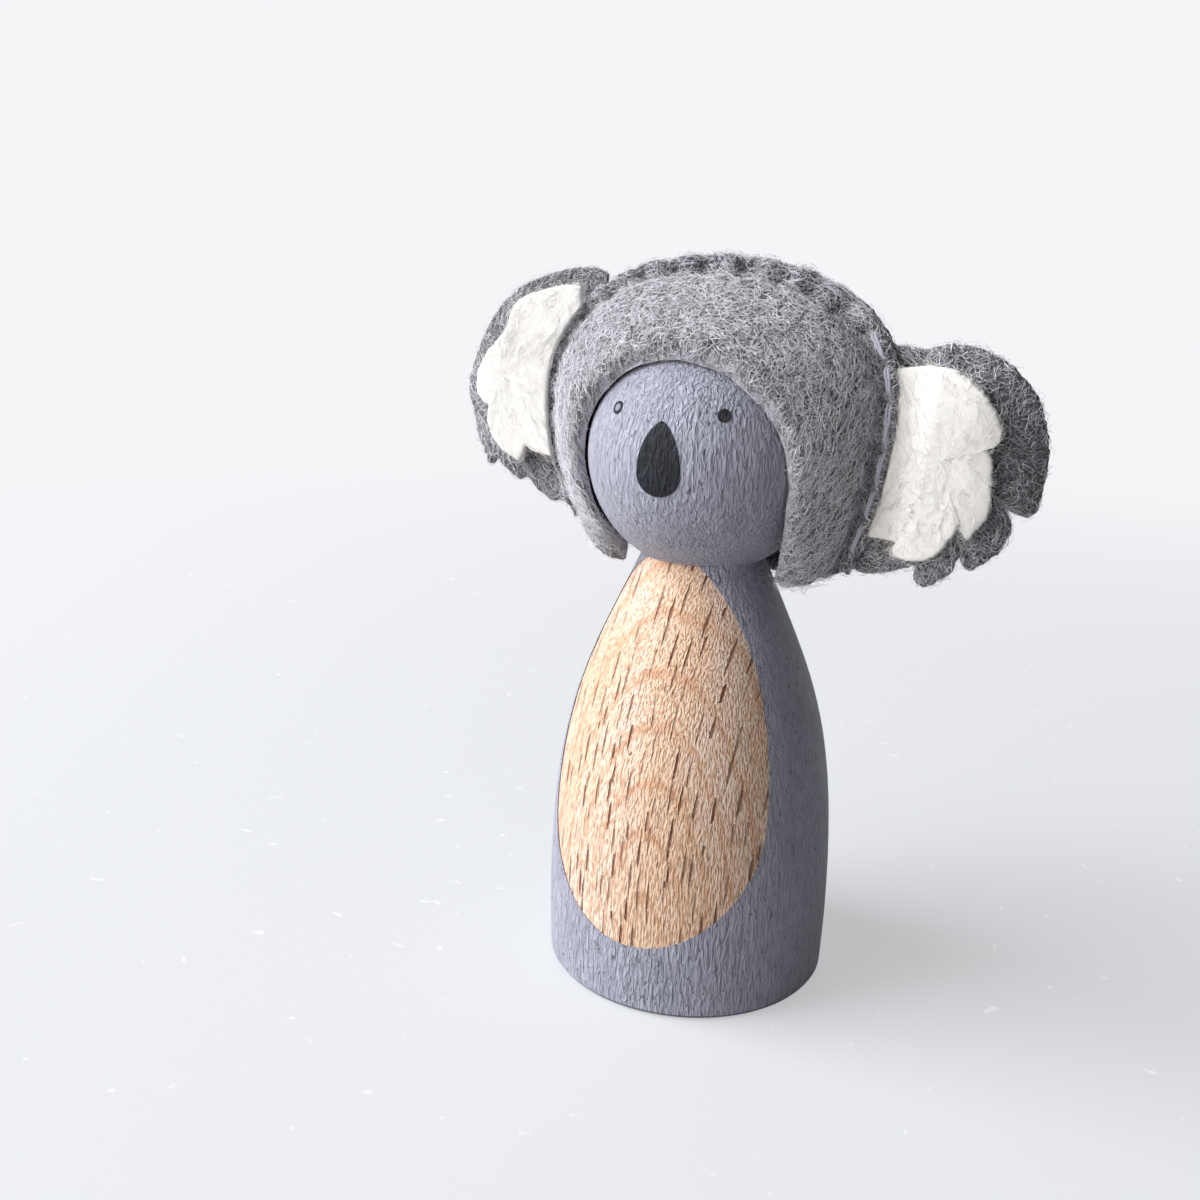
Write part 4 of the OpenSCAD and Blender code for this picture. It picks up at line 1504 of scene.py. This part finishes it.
@dataclass
class Ear:
    """One ear: a grey felt piece and a white one on its front, both snipped into fingers.

    Args:
        form: The hood's curves.
        side: Which side it is on.
        reach: How far it stands out from its flex line, in millimetres.
        height: Its height.
        middle_z: Height of its middle over the head's.
        outlines: Points of each layer's free edge, as shares of the reach and half the height.
        roots: Top and foot of each layer's root, as shares of half the height.
        middle_share: Where the outline's rays meet, in the same shares.
        inner_tuck: How far outside the rim the white layer's root lies, and how far behind
            the middle plane.
        flex_x: Where the flex line lies.
        flat_reach: How far out the ear is flat, before it curls back.
        curl_r: Radius of that curl.
        layer_gap: Gap between the layers.
        rows: How many points its edge has.
        middle: How many even steps lie between the edge and the middle.
        rim_round: Depth of the edge's rounding.
    """

    form: HoodForm
    side: Side
    reach: float
    height: float
    middle_z: float
    outlines: dict[Layer, Shares]
    roots: dict[Layer, tuple[float, float]]
    middle_share: tuple[float, float]
    inner_tuck: tuple[float, float]
    flex_x: float = 22.4
    flat_reach: float = 6.5
    curl_r: float = 9.0
    layer_gap: float = 0.12
    rows: int = 460
    middle: int = 24
    rim_round: float = 0.42

    def root(self, top: float, foot: float, gap: float) -> np.ndarray:
        """Draw a layer's root, along the rim.

        Args:
            top: Height of its top.
            foot: Height of its foot.
            gap: Distance of the root outside the rim's edge.

        Returns:
            Ways out from the flex line, and heights, from the foot up.
        """
        f = self.form
        angle = np.linspace(0.5, f.hem_angle, 400)
        low, high = (np.interp(-z, -f.rim(angle)[:, 1], angle) for z in (foot, top))
        line = f.rim(np.linspace(low, high, 24) * self.side.value)
        line = (line + f.outwards(line) * gap) * np.array([self.side.value, 1])
        return line - np.array([self.flex_x, 0])

    def outline(self, layer: Layer, gap: float) -> np.ndarray:
        """Draw a layer's closed flat outline, with evenly spaced points.

        Args:
            layer: The layer.
            gap: Distance of its root outside the rim's edge.

        Returns:
            Ways out from the flex line, and heights.
        """
        half = self.height / 2
        shares, (top, foot) = self.outlines[layer], self.roots[layer]
        hand = np.array([(s * self.reach, self.middle_z + t * half) for s, t in shares])
        root = self.root(self.middle_z + top * half, self.middle_z + foot * half, gap)
        loop = np.concatenate([rounded(hand), root])
        loop = np.concatenate([loop, loop[:1]])
        far = ways_along(loop)
        return read_line(loop, far, np.linspace(0, far[-1], self.rows, endpoint=False))

    def curled(self, flat: np.ndarray, depth: np.ndarray, layer: float) -> np.ndarray:
        """Take flat felt round the ear's backward curl.

        Args:
            flat: Ways out from the flex line and heights.
            depth: Distance behind the ear's middle plane.
            layer: Depth of the layer's own middle.

        Returns:
            Points in the hood's frame, on the right side.
        """
        angle = np.maximum(flat[..., 0] - self.flat_reach, 0) / (self.curl_r - layer)
        straight = np.minimum(flat[..., 0], self.flat_reach)
        x = self.flex_x + straight + (self.curl_r - depth) * np.sin(angle)
        y = np.where(angle > 0, self.curl_r - (self.curl_r - depth) * np.cos(angle), depth)
        return np.stack([x, y, flat[..., 1]], -1)

    def wave(self, flat: np.ndarray) -> np.ndarray:
        """Give how far the felt waves out of its plane, the same for both layers.

        Args:
            flat: Ways out from the flex line and heights.

        Returns:
            A depth for each.
        """
        third = np.full(flat.shape[:-1], 3.0 * self.side.value)
        places = np.stack([flat[..., 0], flat[..., 1], third], -1)
        free = smoothstep(1.0, 9.0, flat[..., 0])
        broad, fine = smooth_noise(places, 8.0, 8), smooth_noise(places, 2.6, 9)
        return 0.35 * free * broad + 0.02 * free * fine

    def shape(self, layer: Layer) -> FeltSheet:
        """Build one felt layer.

        Args:
            layer: The grey layer behind, or the white one on its front.

        Returns:
            The layer's sheet.
        """
        behind = layer is Layer.OUTER
        gap, root_y = (-0.3, 0.5) if behind else self.inner_tuck
        depth = 0.0 if behind else -self.form.felt - self.layer_gap
        edge = self.outline(layer, gap)
        middle_x, middle_z = self.middle_share
        middle = np.array([middle_x * self.reach, self.middle_z + middle_z * self.height / 2])
        rays = middle - edge
        length = np.linalg.norm(rays, axis=1)
        rays = rays / length[:, None]
        # Snipped felt is ragged at its free edge, but not at its root
        snip = np.stack([edge[:, 0], edge[:, 1], np.full(len(edge), depth)], -1)
        ragged = unevenness(snip, (0.13, 0.8, 11), (0.1, 0.35, 12))
        edge = edge + rays * (ragged * smoothstep(0.0, 2.5, edge[:, 0]))[:, None]
        ways = edge_spacing(length, self.rim_round, self.middle, False)
        flat = edge[:, None] + rays[:, None] * ways[..., None]
        flat[:, -1] = middle
        # The root is pressed thin in the seam, and sewn in behind the rim or over it
        root = 1 - smoothstep(0.3, 3.6, flat[..., 0])
        half = half_thickness(ways, self.rim_round, self.form.felt) * (1 - 0.42 * root)
        centre = depth + (root_y - depth) * root + self.wave(flat)
        points = folded(*(self.curled(flat, centre + half * s, depth) for s in (1, -1)))
        points[..., 0] *= self.side.value
        made = FeltSheet(self.form.placed(points), True)
        # The white felt is the smoother one
        rough = unevenness(made.points, (0.07, 1.5, 13), (0.045, 0.5, 14))
        rough = rough * (1 if behind else 0.12)
        made.shift(rough * smoothstep(0, 2, length[:, None] - folded(ways, ways)))
        return made

    def bend(self, piece: bpy.types.Object) -> None:
        """Bake the piece's place into its mesh; the ends of the flex are found, but the piece does
        not bend.

        Args:
            piece: The piece.
        """
        start, end = (
            Vector(self.form.placed(np.array([self.side.value * x, 0.0, self.middle_z])) * MM)
            for x in (self.flex_x - 1.6, self.flex_x + 3.2)
        )
        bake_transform(piece)


def rounded(points: np.ndarray, steps: int = 8, slack: float = 0.42) -> np.ndarray:
    """Draw a smooth open curve through given points.

    Args:
        points: The points, in order.
        steps: How many steps lie between two of them.
        slack: How far the curve keeps its direction at each point.

    Returns:
        The curve's points.
    """
    before, after = 2 * points[:1] - points[1:2], 2 * points[-1:] - points[-2:-1]
    padded = np.concatenate([before, points, after])
    t = (np.arange(steps) / steps)[:, None]
    made = []
    for a, b, c, d in zip(padded, padded[1:], padded[2:], padded[3:]):
        m, n = (c - a) * slack, (d - b) * slack
        at_start = (2 * t**3 - 3 * t**2 + 1) * b + (t**3 - 2 * t**2 + t) * m
        made.append(at_start + (3 * t**2 - 2 * t**3) * c + (t**3 - t**2) * n)
    return np.concatenate([*made, points[-1:]])


@dataclass
class RimThread:
    """The doubled sewing thread: on the front felt, and down through both layers at each bite.

    Args:
        form: The hood's curves.
        front: The front panel.
        back: The back panel.
        strand_r: Radius of one strand.
        apart: Distance of each strand from the middle line.
        gap_turn: Degrees between the two ends of a bite.
        samples: How many points a stitch has.
        wind_mm: Length of one slow turn of the strands.
    """

    form: HoodForm
    front: FrontPanel
    back: BackPanel
    strand_r: float = 0.17
    apart: float = 0.21
    gap_turn: float = 0.9
    samples: int = 14
    wind_mm: float = 9.0

    def route(self) -> tuple[np.ndarray, np.ndarray]:
        """List the doubled thread's middle line.

        Returns:
            Places along it, and the felt's normals there.
        """
        places, normals = [], []
        bites = np.array(self.form.bites)
        share = np.linspace(0, 1, self.samples)
        # How far a stitch dives at its two ends
        dive = -0.75 * swelling(share, 0.09) - 0.75 * swelling(1 - share, 0.09)
        for low, high in zip(bites[:-1], bites[1:]):
            angle = low + self.gap_turn / 2 + (high - low - self.gap_turn) * share
            place, normal = self.front.stitch_point(angle)
            # Tight stitches sink into the felt, and slack ones lie on it
            over = -0.12 + 0.3 * smoothstep(46, 58, angle)
            places.append(place + normal * (over + dive)[:, None])
            normals.append(normal)
            if high < bites[-1]:
                place, normal = self.back.stitch_point(np.array([high - 0.3, high + 0.3]))
                places.append(place + normal * 0.12)
                normals.append(-normal)
        return np.concatenate(places), np.concatenate(normals)

    def build(self) -> bpy.types.Object:
        """Sweep two strands that wind slowly round the middle line.

        Returns:
            The new object.
        """
        route, normals = self.route()
        far = ways_along(route)
        even = np.arange(0, far[-1], 0.2)
        line, normal = read_line(route, far, even), unit(read_line(normals, far, even))
        for _ in range(2):
            line[1:-1] = (line[:-2] + 2 * line[1:-1] + line[2:]) / 4
        side = unit(np.cross(unit(np.gradient(line, axis=0)), normal))
        wind = (0.5 * np.sin(even * 2 * np.pi / self.wind_mm))[:, None]
        offset = (side * np.cos(wind) + normal * np.sin(wind)) * self.apart
        strands, across = np.stack([line - offset, line + offset]), np.stack([normal, normal])
        vertices, faces = strand_mesh(strands, across, np.full(2, self.strand_r), sides=8)
        made = add_mesh("rim_seam_thread_strands", vertices, faces)
        add_values(made, "tint", np.repeat([0.55, 0.8], len(vertices) // 2))
        return made


# The ears' free edges: shares of the reach and half the height, from the top to the foot
RIGHT_OUTER = (
    (0.05, 0.93), (0.17, 0.98), (0.30, 1.0), (0.42, 0.985), (0.54, 0.93), (0.645, 0.855),
    (0.76, 0.73), (0.855, 0.59), (0.925, 0.43), (0.975, 0.27), (1.0, 0.12), (1.0, -0.08),
    (0.995, -0.19), (0.965, -0.27), (0.91, -0.31), (0.82, -0.275), (0.745, -0.235), (0.785, -0.35),
    (0.79, -0.47), (0.745, -0.605), (0.68, -0.7), (0.57, -0.785), (0.505, -0.68), (0.465, -0.81),
    (0.40, -0.91), (0.305, -1.0), (0.235, -0.94), (0.22, -0.83), (0.125, -0.88), (0.0, -0.95),
    (-0.13, -0.985),
)
RIGHT_INNER = (
    (0.085, 0.81), (0.205, 0.825), (0.30, 0.81), (0.405, 0.75), (0.505, 0.65), (0.58, 0.545),
    (0.63, 0.43), (0.65, 0.355), (0.63, 0.27), (0.565, 0.225), (0.615, 0.17), (0.635, 0.0),
    (0.655, -0.165), (0.645, -0.29), (0.6, -0.415), (0.54, -0.505), (0.48, -0.395), (0.455, -0.495),
    (0.385, -0.66), (0.295, -0.74), (0.205, -0.77), (0.09, -0.775), (0.06, -0.72), (0.07, -0.655),
    (-0.01, -0.645),
)
LEFT_OUTER = (
    (-0.56, 0.985), (-0.47, 1.015), (-0.32, 1.015), (-0.10, 0.98), (0.12, 0.915), (0.34, 0.82),
    (0.515, 0.69), (0.665, 0.52), (0.80, 0.32), (0.91, 0.14), (1.0, -0.05), (0.985, -0.2),
    (0.90, -0.285), (0.86, -0.37), (0.80, -0.50), (0.70, -0.62), (0.60, -0.755), (0.525, -0.68),
    (0.43, -0.75), (0.30, -0.81), (0.22, -0.845), (0.16, -0.80), (0.03, -0.91), (-0.15, -0.98),
)
LEFT_INNER = (
    (-0.40, 0.875), (-0.20, 0.865), (0.06, 0.80), (0.29, 0.71), (0.375, 0.58), (0.385, 0.50),
    (0.47, 0.395), (0.61, 0.255), (0.73, 0.075), (0.73, -0.105), (0.65, -0.205), (0.575, -0.225),
    (0.565, -0.39), (0.47, -0.515), (0.34, -0.605), (0.165, -0.65), (0.095, -0.52), (0.02, -0.55),
)



@dataclass(frozen=True)
class FeltStock:
    """One colour of felt: its cloth, its loose fibres and a slot's name."""

    cloth: bpy.types.Material
    hair: bpy.types.Material
    slot: str

    def dress(self, piece: bpy.types.Object, loose: bool = False) -> None:
        """Give a piece of cloth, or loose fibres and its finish."""
        dress(piece, self.hair if loose else self.cloth)


def dress(piece: bpy.types.Object, finish: bpy.types.Material) -> None:
    """Give a piece its finish."""
    piece.data.materials.append(finish)


@dataclass
class Hood:
    """The sewn hood with its ears, its thread and all its loose fibres.

    Args:
        form: The hood's curves.
        front_flat: Width and height in metres of the flat felt of the front panel; not used.
        back_flat: The same of the back panel; not used.
    """

    form: HoodForm = field(default_factory=HoodForm)
    front_flat: tuple[float, float] = (0.060, 0.047)
    back_flat: tuple[float, float] = (0.056, 0.050)

    def make_finishes(self) -> None:
        """Build the felts, the fibres and the thread's finish."""
        white = WoolFelt(
            name="white_wool_felt",
            # Partly painted shade between the fibres
            gap="#e6e4df",
            body="#ebeae6",
            fibre="#f0efec",
            # Partly painted shade in the stitch dimples
            pressed_felt_and_shade="#d8d6cf",
            cut="#ebeae6",
            sheen=0.1,
            fibre_share=0.15,
            mottle_mm=1.6,
            relief_mm=0.005,
        )
        white_hair = LooseFibre("white_wool_fibre", "#edece7", "#fbfbf9", 0.15)
        self.grey = FeltStock(WoolFelt().make(), LooseFibre().make(), "grey_felt")
        self.white = FeltStock(white.make(), white_hair.make(), "white_felt")
        self.thread = LooseFibre("grey_sewing_thread", "#8f8e9e", "#b9b8c8").make()

    def build_panels(self) -> None:
        """Build both hood panels and the thread that joins them."""
        self.front, self.back = FrontPanel(self.form), BackPanel(self.form)
        front = self.front.shape().build("hood_front_felt")
        back = self.back.shape().build("hood_back_felt")
        for piece, node, panel, flat in (
            (front, "hood_front_panel", self.front, self.front_flat),
            (back, "hood_back_panel", self.back, self.back_flat),
        ):
            self.grey.dress(piece)
            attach(piece, HOOD)
            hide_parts(node)
            area = panel.sheet.flat_area()
        thread = RimThread(self.form, self.front, self.back).build()
        dress(thread, self.thread)
        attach(thread, HOOD)
        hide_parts("rim_seam_thread")
        sizes = [len(p.data.polygons) for p in (front, back, thread)]
        LOG.info("hood_front_felt, hood_back_felt and rim_seam_thread_strands: %s faces", sizes)

    def outside(self, points: np.ndarray, normals: np.ndarray) -> np.ndarray:
        """Weigh the panels' outer faces alone, so that no fibre reaches the painted head."""
        middle = np.array([0, 0, self.form.head_z])
        return smoothstep(-0.35, 0.1, (unit(points - middle) * normals).sum(-1))

    def low_hem(self, points: np.ndarray, normals: np.ndarray) -> np.ndarray:
        """Weigh the hem's cut edge, where loose curls hang."""
        low = smoothstep(-8.0, -10.5, points[..., 2] - self.form.head_z)
        return smoothstep(0.55, 0.9, -normals[..., 2]) * low

    def panel_batches(self, front: bool) -> dict[str, Fuzz]:
        """List a panel's layers of fibre, from the flat nap to the strays that stand off it.

        Args:
            front: Whether it is the front panel, which is fluffier than the back one.

        Returns:
            The layers, by the last word of their names.
        """
        curls, wisps, strays = (6400, 6000, 4500) if front else (3000, 3000, 3000)
        return {
            "nap": Fuzz(6400, tints=(0.0, 0.22)),
            "curls": Fuzz(curls, length=(0.9, 2.4), lift=(0.02, 0.2), tints=(0.0, 0.75)),
            "wisps": Fuzz(
                wisps, radius=(0.026, 0.04), lift=(0.05, 0.26), curl=0.35, tints=(0.7, 1.0)
            ),
            "strays": Fuzz(
                strays,
                length=(1.2, 3.0),
                radius=(0.016, 0.026),
                lift=(0.0, 0.25),
                rise=(0.12, 0.8),
                curl=0.45,
                tints=(0.6, 1.0),
                joints=7,
            ),
        }

    def build_panel_fuzz(self) -> None:
        """Lay the loose fibres on the panels' outer faces, and curls on the front's hem."""
        hem_curls = Fuzz(
            420,
            length=(1.2, 3.4),
            radius=(0.014, 0.022),
            lift=(0.0, 0.3),
            rise=(0.5, 1.7),
            curl=0.6,
            tints=(0.3, 1.0),
            joints=8,
        )
        made = []
        for name, sheet, seed in (
            ("hood_front", self.front.sheet, 21), ("hood_back", self.back.sheet, 31),
        ):
            batches = self.panel_batches(name == "hood_front")
            for k, (word, fuzz) in enumerate(batches.items()):
                made.append(fuzz.build(f"{name}_{word}", sheet, seed + k, self.outside))
        name = "hood_front_hem_curls"
        made.append(hem_curls.build(name, self.front.sheet, 41, self.low_hem))
        for piece in made:
            self.grey.dress(piece, loose=True)
            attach(piece, HOOD)
            LOG.info("%s: %d faces", piece.name, len(piece.data.polygons))

    def build_ears(self) -> None:
        """Build both ears with their fibres."""
        ears = (
            Ear(
                self.form,
                Side.RIGHT,
                reach=16.0,
                height=26.4,
                middle_z=2.3,
                outlines={Layer.OUTER: RIGHT_OUTER, Layer.INNER: RIGHT_INNER},
                roots={Layer.OUTER: (0.94, -0.96), Layer.INNER: (0.76, -0.65)},
                middle_share=(0.3, 0.09),
                inner_tuck=(0.0, -0.65),
            ),
            Ear(
                self.form,
                Side.LEFT,
                reach=12.3,
                height=28.8,
                middle_z=4.7,
                outlines={Layer.OUTER: LEFT_OUTER, Layer.INNER: LEFT_INNER},
                roots={Layer.OUTER: (0.92, -0.97), Layer.INNER: (0.80, -0.58)},
                middle_share=(0.4, 0.06),
                inner_tuck=(-0.4, -1.95),
            ),
        )
        for ear, seed in zip(ears, (50, 60)):
            self.build_ear_layer(ear, Layer.OUTER, seed)
            self.build_ear_layer(ear, Layer.INNER, seed + 5)

    def build_ear_layer(self, ear: Ear, layer: Layer, seed: int) -> None:
        """Build one layer of an ear, with its nap and strays.

        Args:
            ear: The ear.
            layer: The layer.
            seed: Picks the fibres' draw of chance.
        """
        word = f"ear_{layer.value}_{ear.side.word}"
        sheet = ear.shape(layer)
        # How much wider and higher than the ear's own reach and height the flat felt is
        if layer is Layer.OUTER:
            stock, count, wider, higher = self.grey, 2600, 1.25, 1.0
            nap = Fuzz(
                count, (1.0, 2.6), (0.032, 0.052), (0.0, 0.12), curl=0.6, tints=(0.15, 1.0)
            )
        else:
            stock, count, wider, higher = self.white, 1500, 0.9, 0.8
            nap = Fuzz(
                count // 3, (1.0, 2.2), (0.008, 0.012), (0.0, 0.02), curl=0.6, tints=(0.2, 1.0)
            )
        strays = Fuzz(
            count,
            length=(0.8, 2.6),
            radius=(0.014, 0.022),
            lift=(0.0, 0.2),
            rise=(0.1, 0.8),
            curl=0.4,
            tints=(0.5, 1.0),
            joints=7,
        )
        piece = sheet.build(f"{word}_felt")
        stock.dress(piece)
        ear.bend(piece)
        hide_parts(word)
        flat = (ear.reach * MM * wider, ear.height * MM * higher)
        area = min(sheet.flat_area(), flat[0] * flat[1])
        for k, (name, fuzz) in enumerate((("nap", nap), ("strays", strays))):
            fibres = fuzz.build(f"{word}_{name}", sheet, seed + k)
            stock.dress(fibres, loose=True)
            ear.bend(fibres)
        LOG.info("%s: %d faces, with its nap and strays", piece.name, len(piece.data.polygons))

    def build(self) -> None:
        """Build the whole hood."""
        self.make_finishes()
        self.build_panels()
        self.build_panel_fuzz()
        self.build_ears()


@dataclass
class Peg:
    """The turned beech peg with its painted coat, nose and eyes.

    Args:
        nodes: The frame's solids by name.
        left_eye_mm: The middle of the left eye, which is worn.
        worn_mm: Radius of the worn spot.
    """

    nodes: dict[str, bpy.types.Object]
    left_eye_mm: tuple[float, float, float] = (-6.28, -11.33, 70.1)
    worn_mm: float = 0.45

    def build(self) -> None:
        """Dress the peg's solids."""
        ink = BrushedPaint(
            name="charcoal_craft_paint",
            pale="#23262f",
            deep="#16181d",
            # The ink's pits darkened with painted shade
            pit_shade="#0d0e11",
            roughness=0.6,
            specular=0.25,
            sheen=0.0,
            pit_shade_share=0.5,
        )
        worn = {"worn_at_mm": self.left_eye_mm, "worn_mm": self.worn_mm}
        finishes = {
            "peg": BareBeech(),
            "coat_paint": BrushedPaint(),
            "nose_paint": ink,
            "eye_paint": replace(ink, name="worn_charcoal_paint", **worn),
        }
        for name, finish in finishes.items():
            node = self.nodes[name]
            node.data.materials.clear()
            node.data.materials.append(finish.make())
            LOG.info("%s dressed", name)


@dataclass(frozen=True)
class SoftLight:
    """One square soft light that faces the doll: place and size in metres, power in watts."""

    name: str
    place: tuple[float, float, float]
    size: float
    power: float
    tone: str
    faces: tuple[float, float, float] = (0.0, 0.0, 0.05)

    def hang(self) -> None:
        """Add the light to the scene."""
        data = bpy.data.lights.new(self.name, "AREA")
        data.size = self.size
        data.energy = self.power
        data.color = linear(self.tone)[:3]
        lamp = bpy.data.objects.new(self.name, data)
        lamp.location = self.place
        away = Vector(self.faces) - lamp.location
        lamp.rotation_euler = away.to_track_quat("-Z", "Y").to_euler()
        bpy.context.scene.collection.objects.link(lamp)


@dataclass(frozen=True)
class Studio:
    """A pale table, window light from the upper left, a weak low light and the photo's camera.

    Args:
        place: Where the camera stands, in millimetres.
        turn: How far it is swung round the doll, in degrees.
        yaw: How far it then looks aside.
        pitch: How far it looks down.
        roll: How far it is tilted.
        lights: The soft lights.
        fill: Strength of the even light from all round.
        fill_tone: Its colour.
        table_m: Width of the table.
    """

    place: tuple[float, float, float] = (53.7, -131.0, 83.3)
    turn: float = 22.3
    yaw: float = 4.96
    pitch: float = 14.77
    roll: float = 1.55
    lights: tuple[SoftLight, ...] = (
        SoftLight("window_light", (-1.0, -0.5, 0.9), 1.15, 41.5, "#f9fbff"),
        SoftLight("room_light", (-0.5, -1.15, 0.2), 0.6, 8.0, "#fff9f4"),
    )
    fill: float = 0.05
    fill_tone: str = "#f6f0ea"
    table_m: float = 6

    def build_camera(self) -> None:
        """Set the camera where the photograph was taken from."""
        angles = (self.yaw, self.pitch, self.roll, self.turn)
        yaw, pitch, roll, turn = (np.radians(v) for v in angles)
        level = np.cos(pitch)
        forward = Vector((-np.sin(yaw) * level, np.cos(yaw) * level, -np.sin(pitch)))
        level_right = Vector((np.cos(yaw), np.sin(yaw), 0))
        level_up = level_right.cross(forward)
        right = level_right * np.cos(roll) + level_up * np.sin(roll)
        up = level_up * np.cos(roll) - level_right * np.sin(roll)
        swing = Matrix.Rotation(turn, 3, "Z")
        axes = Matrix([swing @ right, swing @ up, swing @ -forward]).transposed()
        data = bpy.data.cameras.new("photo_camera")
        # A lens as long as the sensor is wide fits the photograph
        data.lens = data.sensor_width
        data.clip_start, data.clip_end = 0.005, 20
        camera = bpy.data.objects.new("photo_camera", data)
        camera.matrix_world = Matrix.Translation(Vector(self.place) * MM) @ axes.to_4x4()
        bpy.context.scene.collection.objects.link(camera)
        bpy.context.scene.camera = camera

    def build_floor(self) -> None:
        """Lay the table."""
        bpy.ops.mesh.primitive_plane_add(size=self.table_m, location=(0, 0, 0))
        floor = bpy.context.object
        floor.name = "table_top"
        floor.data.materials.append(TableTop().make())

    def build_light(self) -> None:
        """Hang the lights, and set a pale world that lights the doll only a little."""
        for light in self.lights:
            light.hang()
        world = bpy.data.worlds.new("pale_room")
        world.use_nodes = True
        tree = world.node_tree
        tree.nodes.clear()
        seen = {"Color": linear(TableTop().far), "Strength": 1.0}
        even = {"Color": linear(self.fill_tone), "Strength": self.fill}
        light, shown = (add_node(tree, "Background", values) for values in (even, seen))
        mixed = add_node(tree, "MixShader", {0: add_seen(tree), 1: light, 2: shown})
        add_node(tree, "OutputWorld", {"Surface": mixed})
        bpy.context.scene.world = world

    def build(self) -> None:
        """Build the studio and keep plain colours."""
        bpy.ops.object.select_all(action="DESELECT")
        self.build_camera()
        self.build_floor()
        self.build_light()
        bpy.context.scene.view_settings.view_transform = "Standard"
        LOG.info("table, lights and camera set")


def main() -> None:
    """Build every sub-assembly round the frame."""
    logging.basicConfig(level=logging.INFO, format="%(message)s")
    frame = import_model()
    Studio().build()
    Peg(frame["nodes"]).build()
    Hood().build()
    LOG.info("size written")


if __name__ == "__main__":
    main()
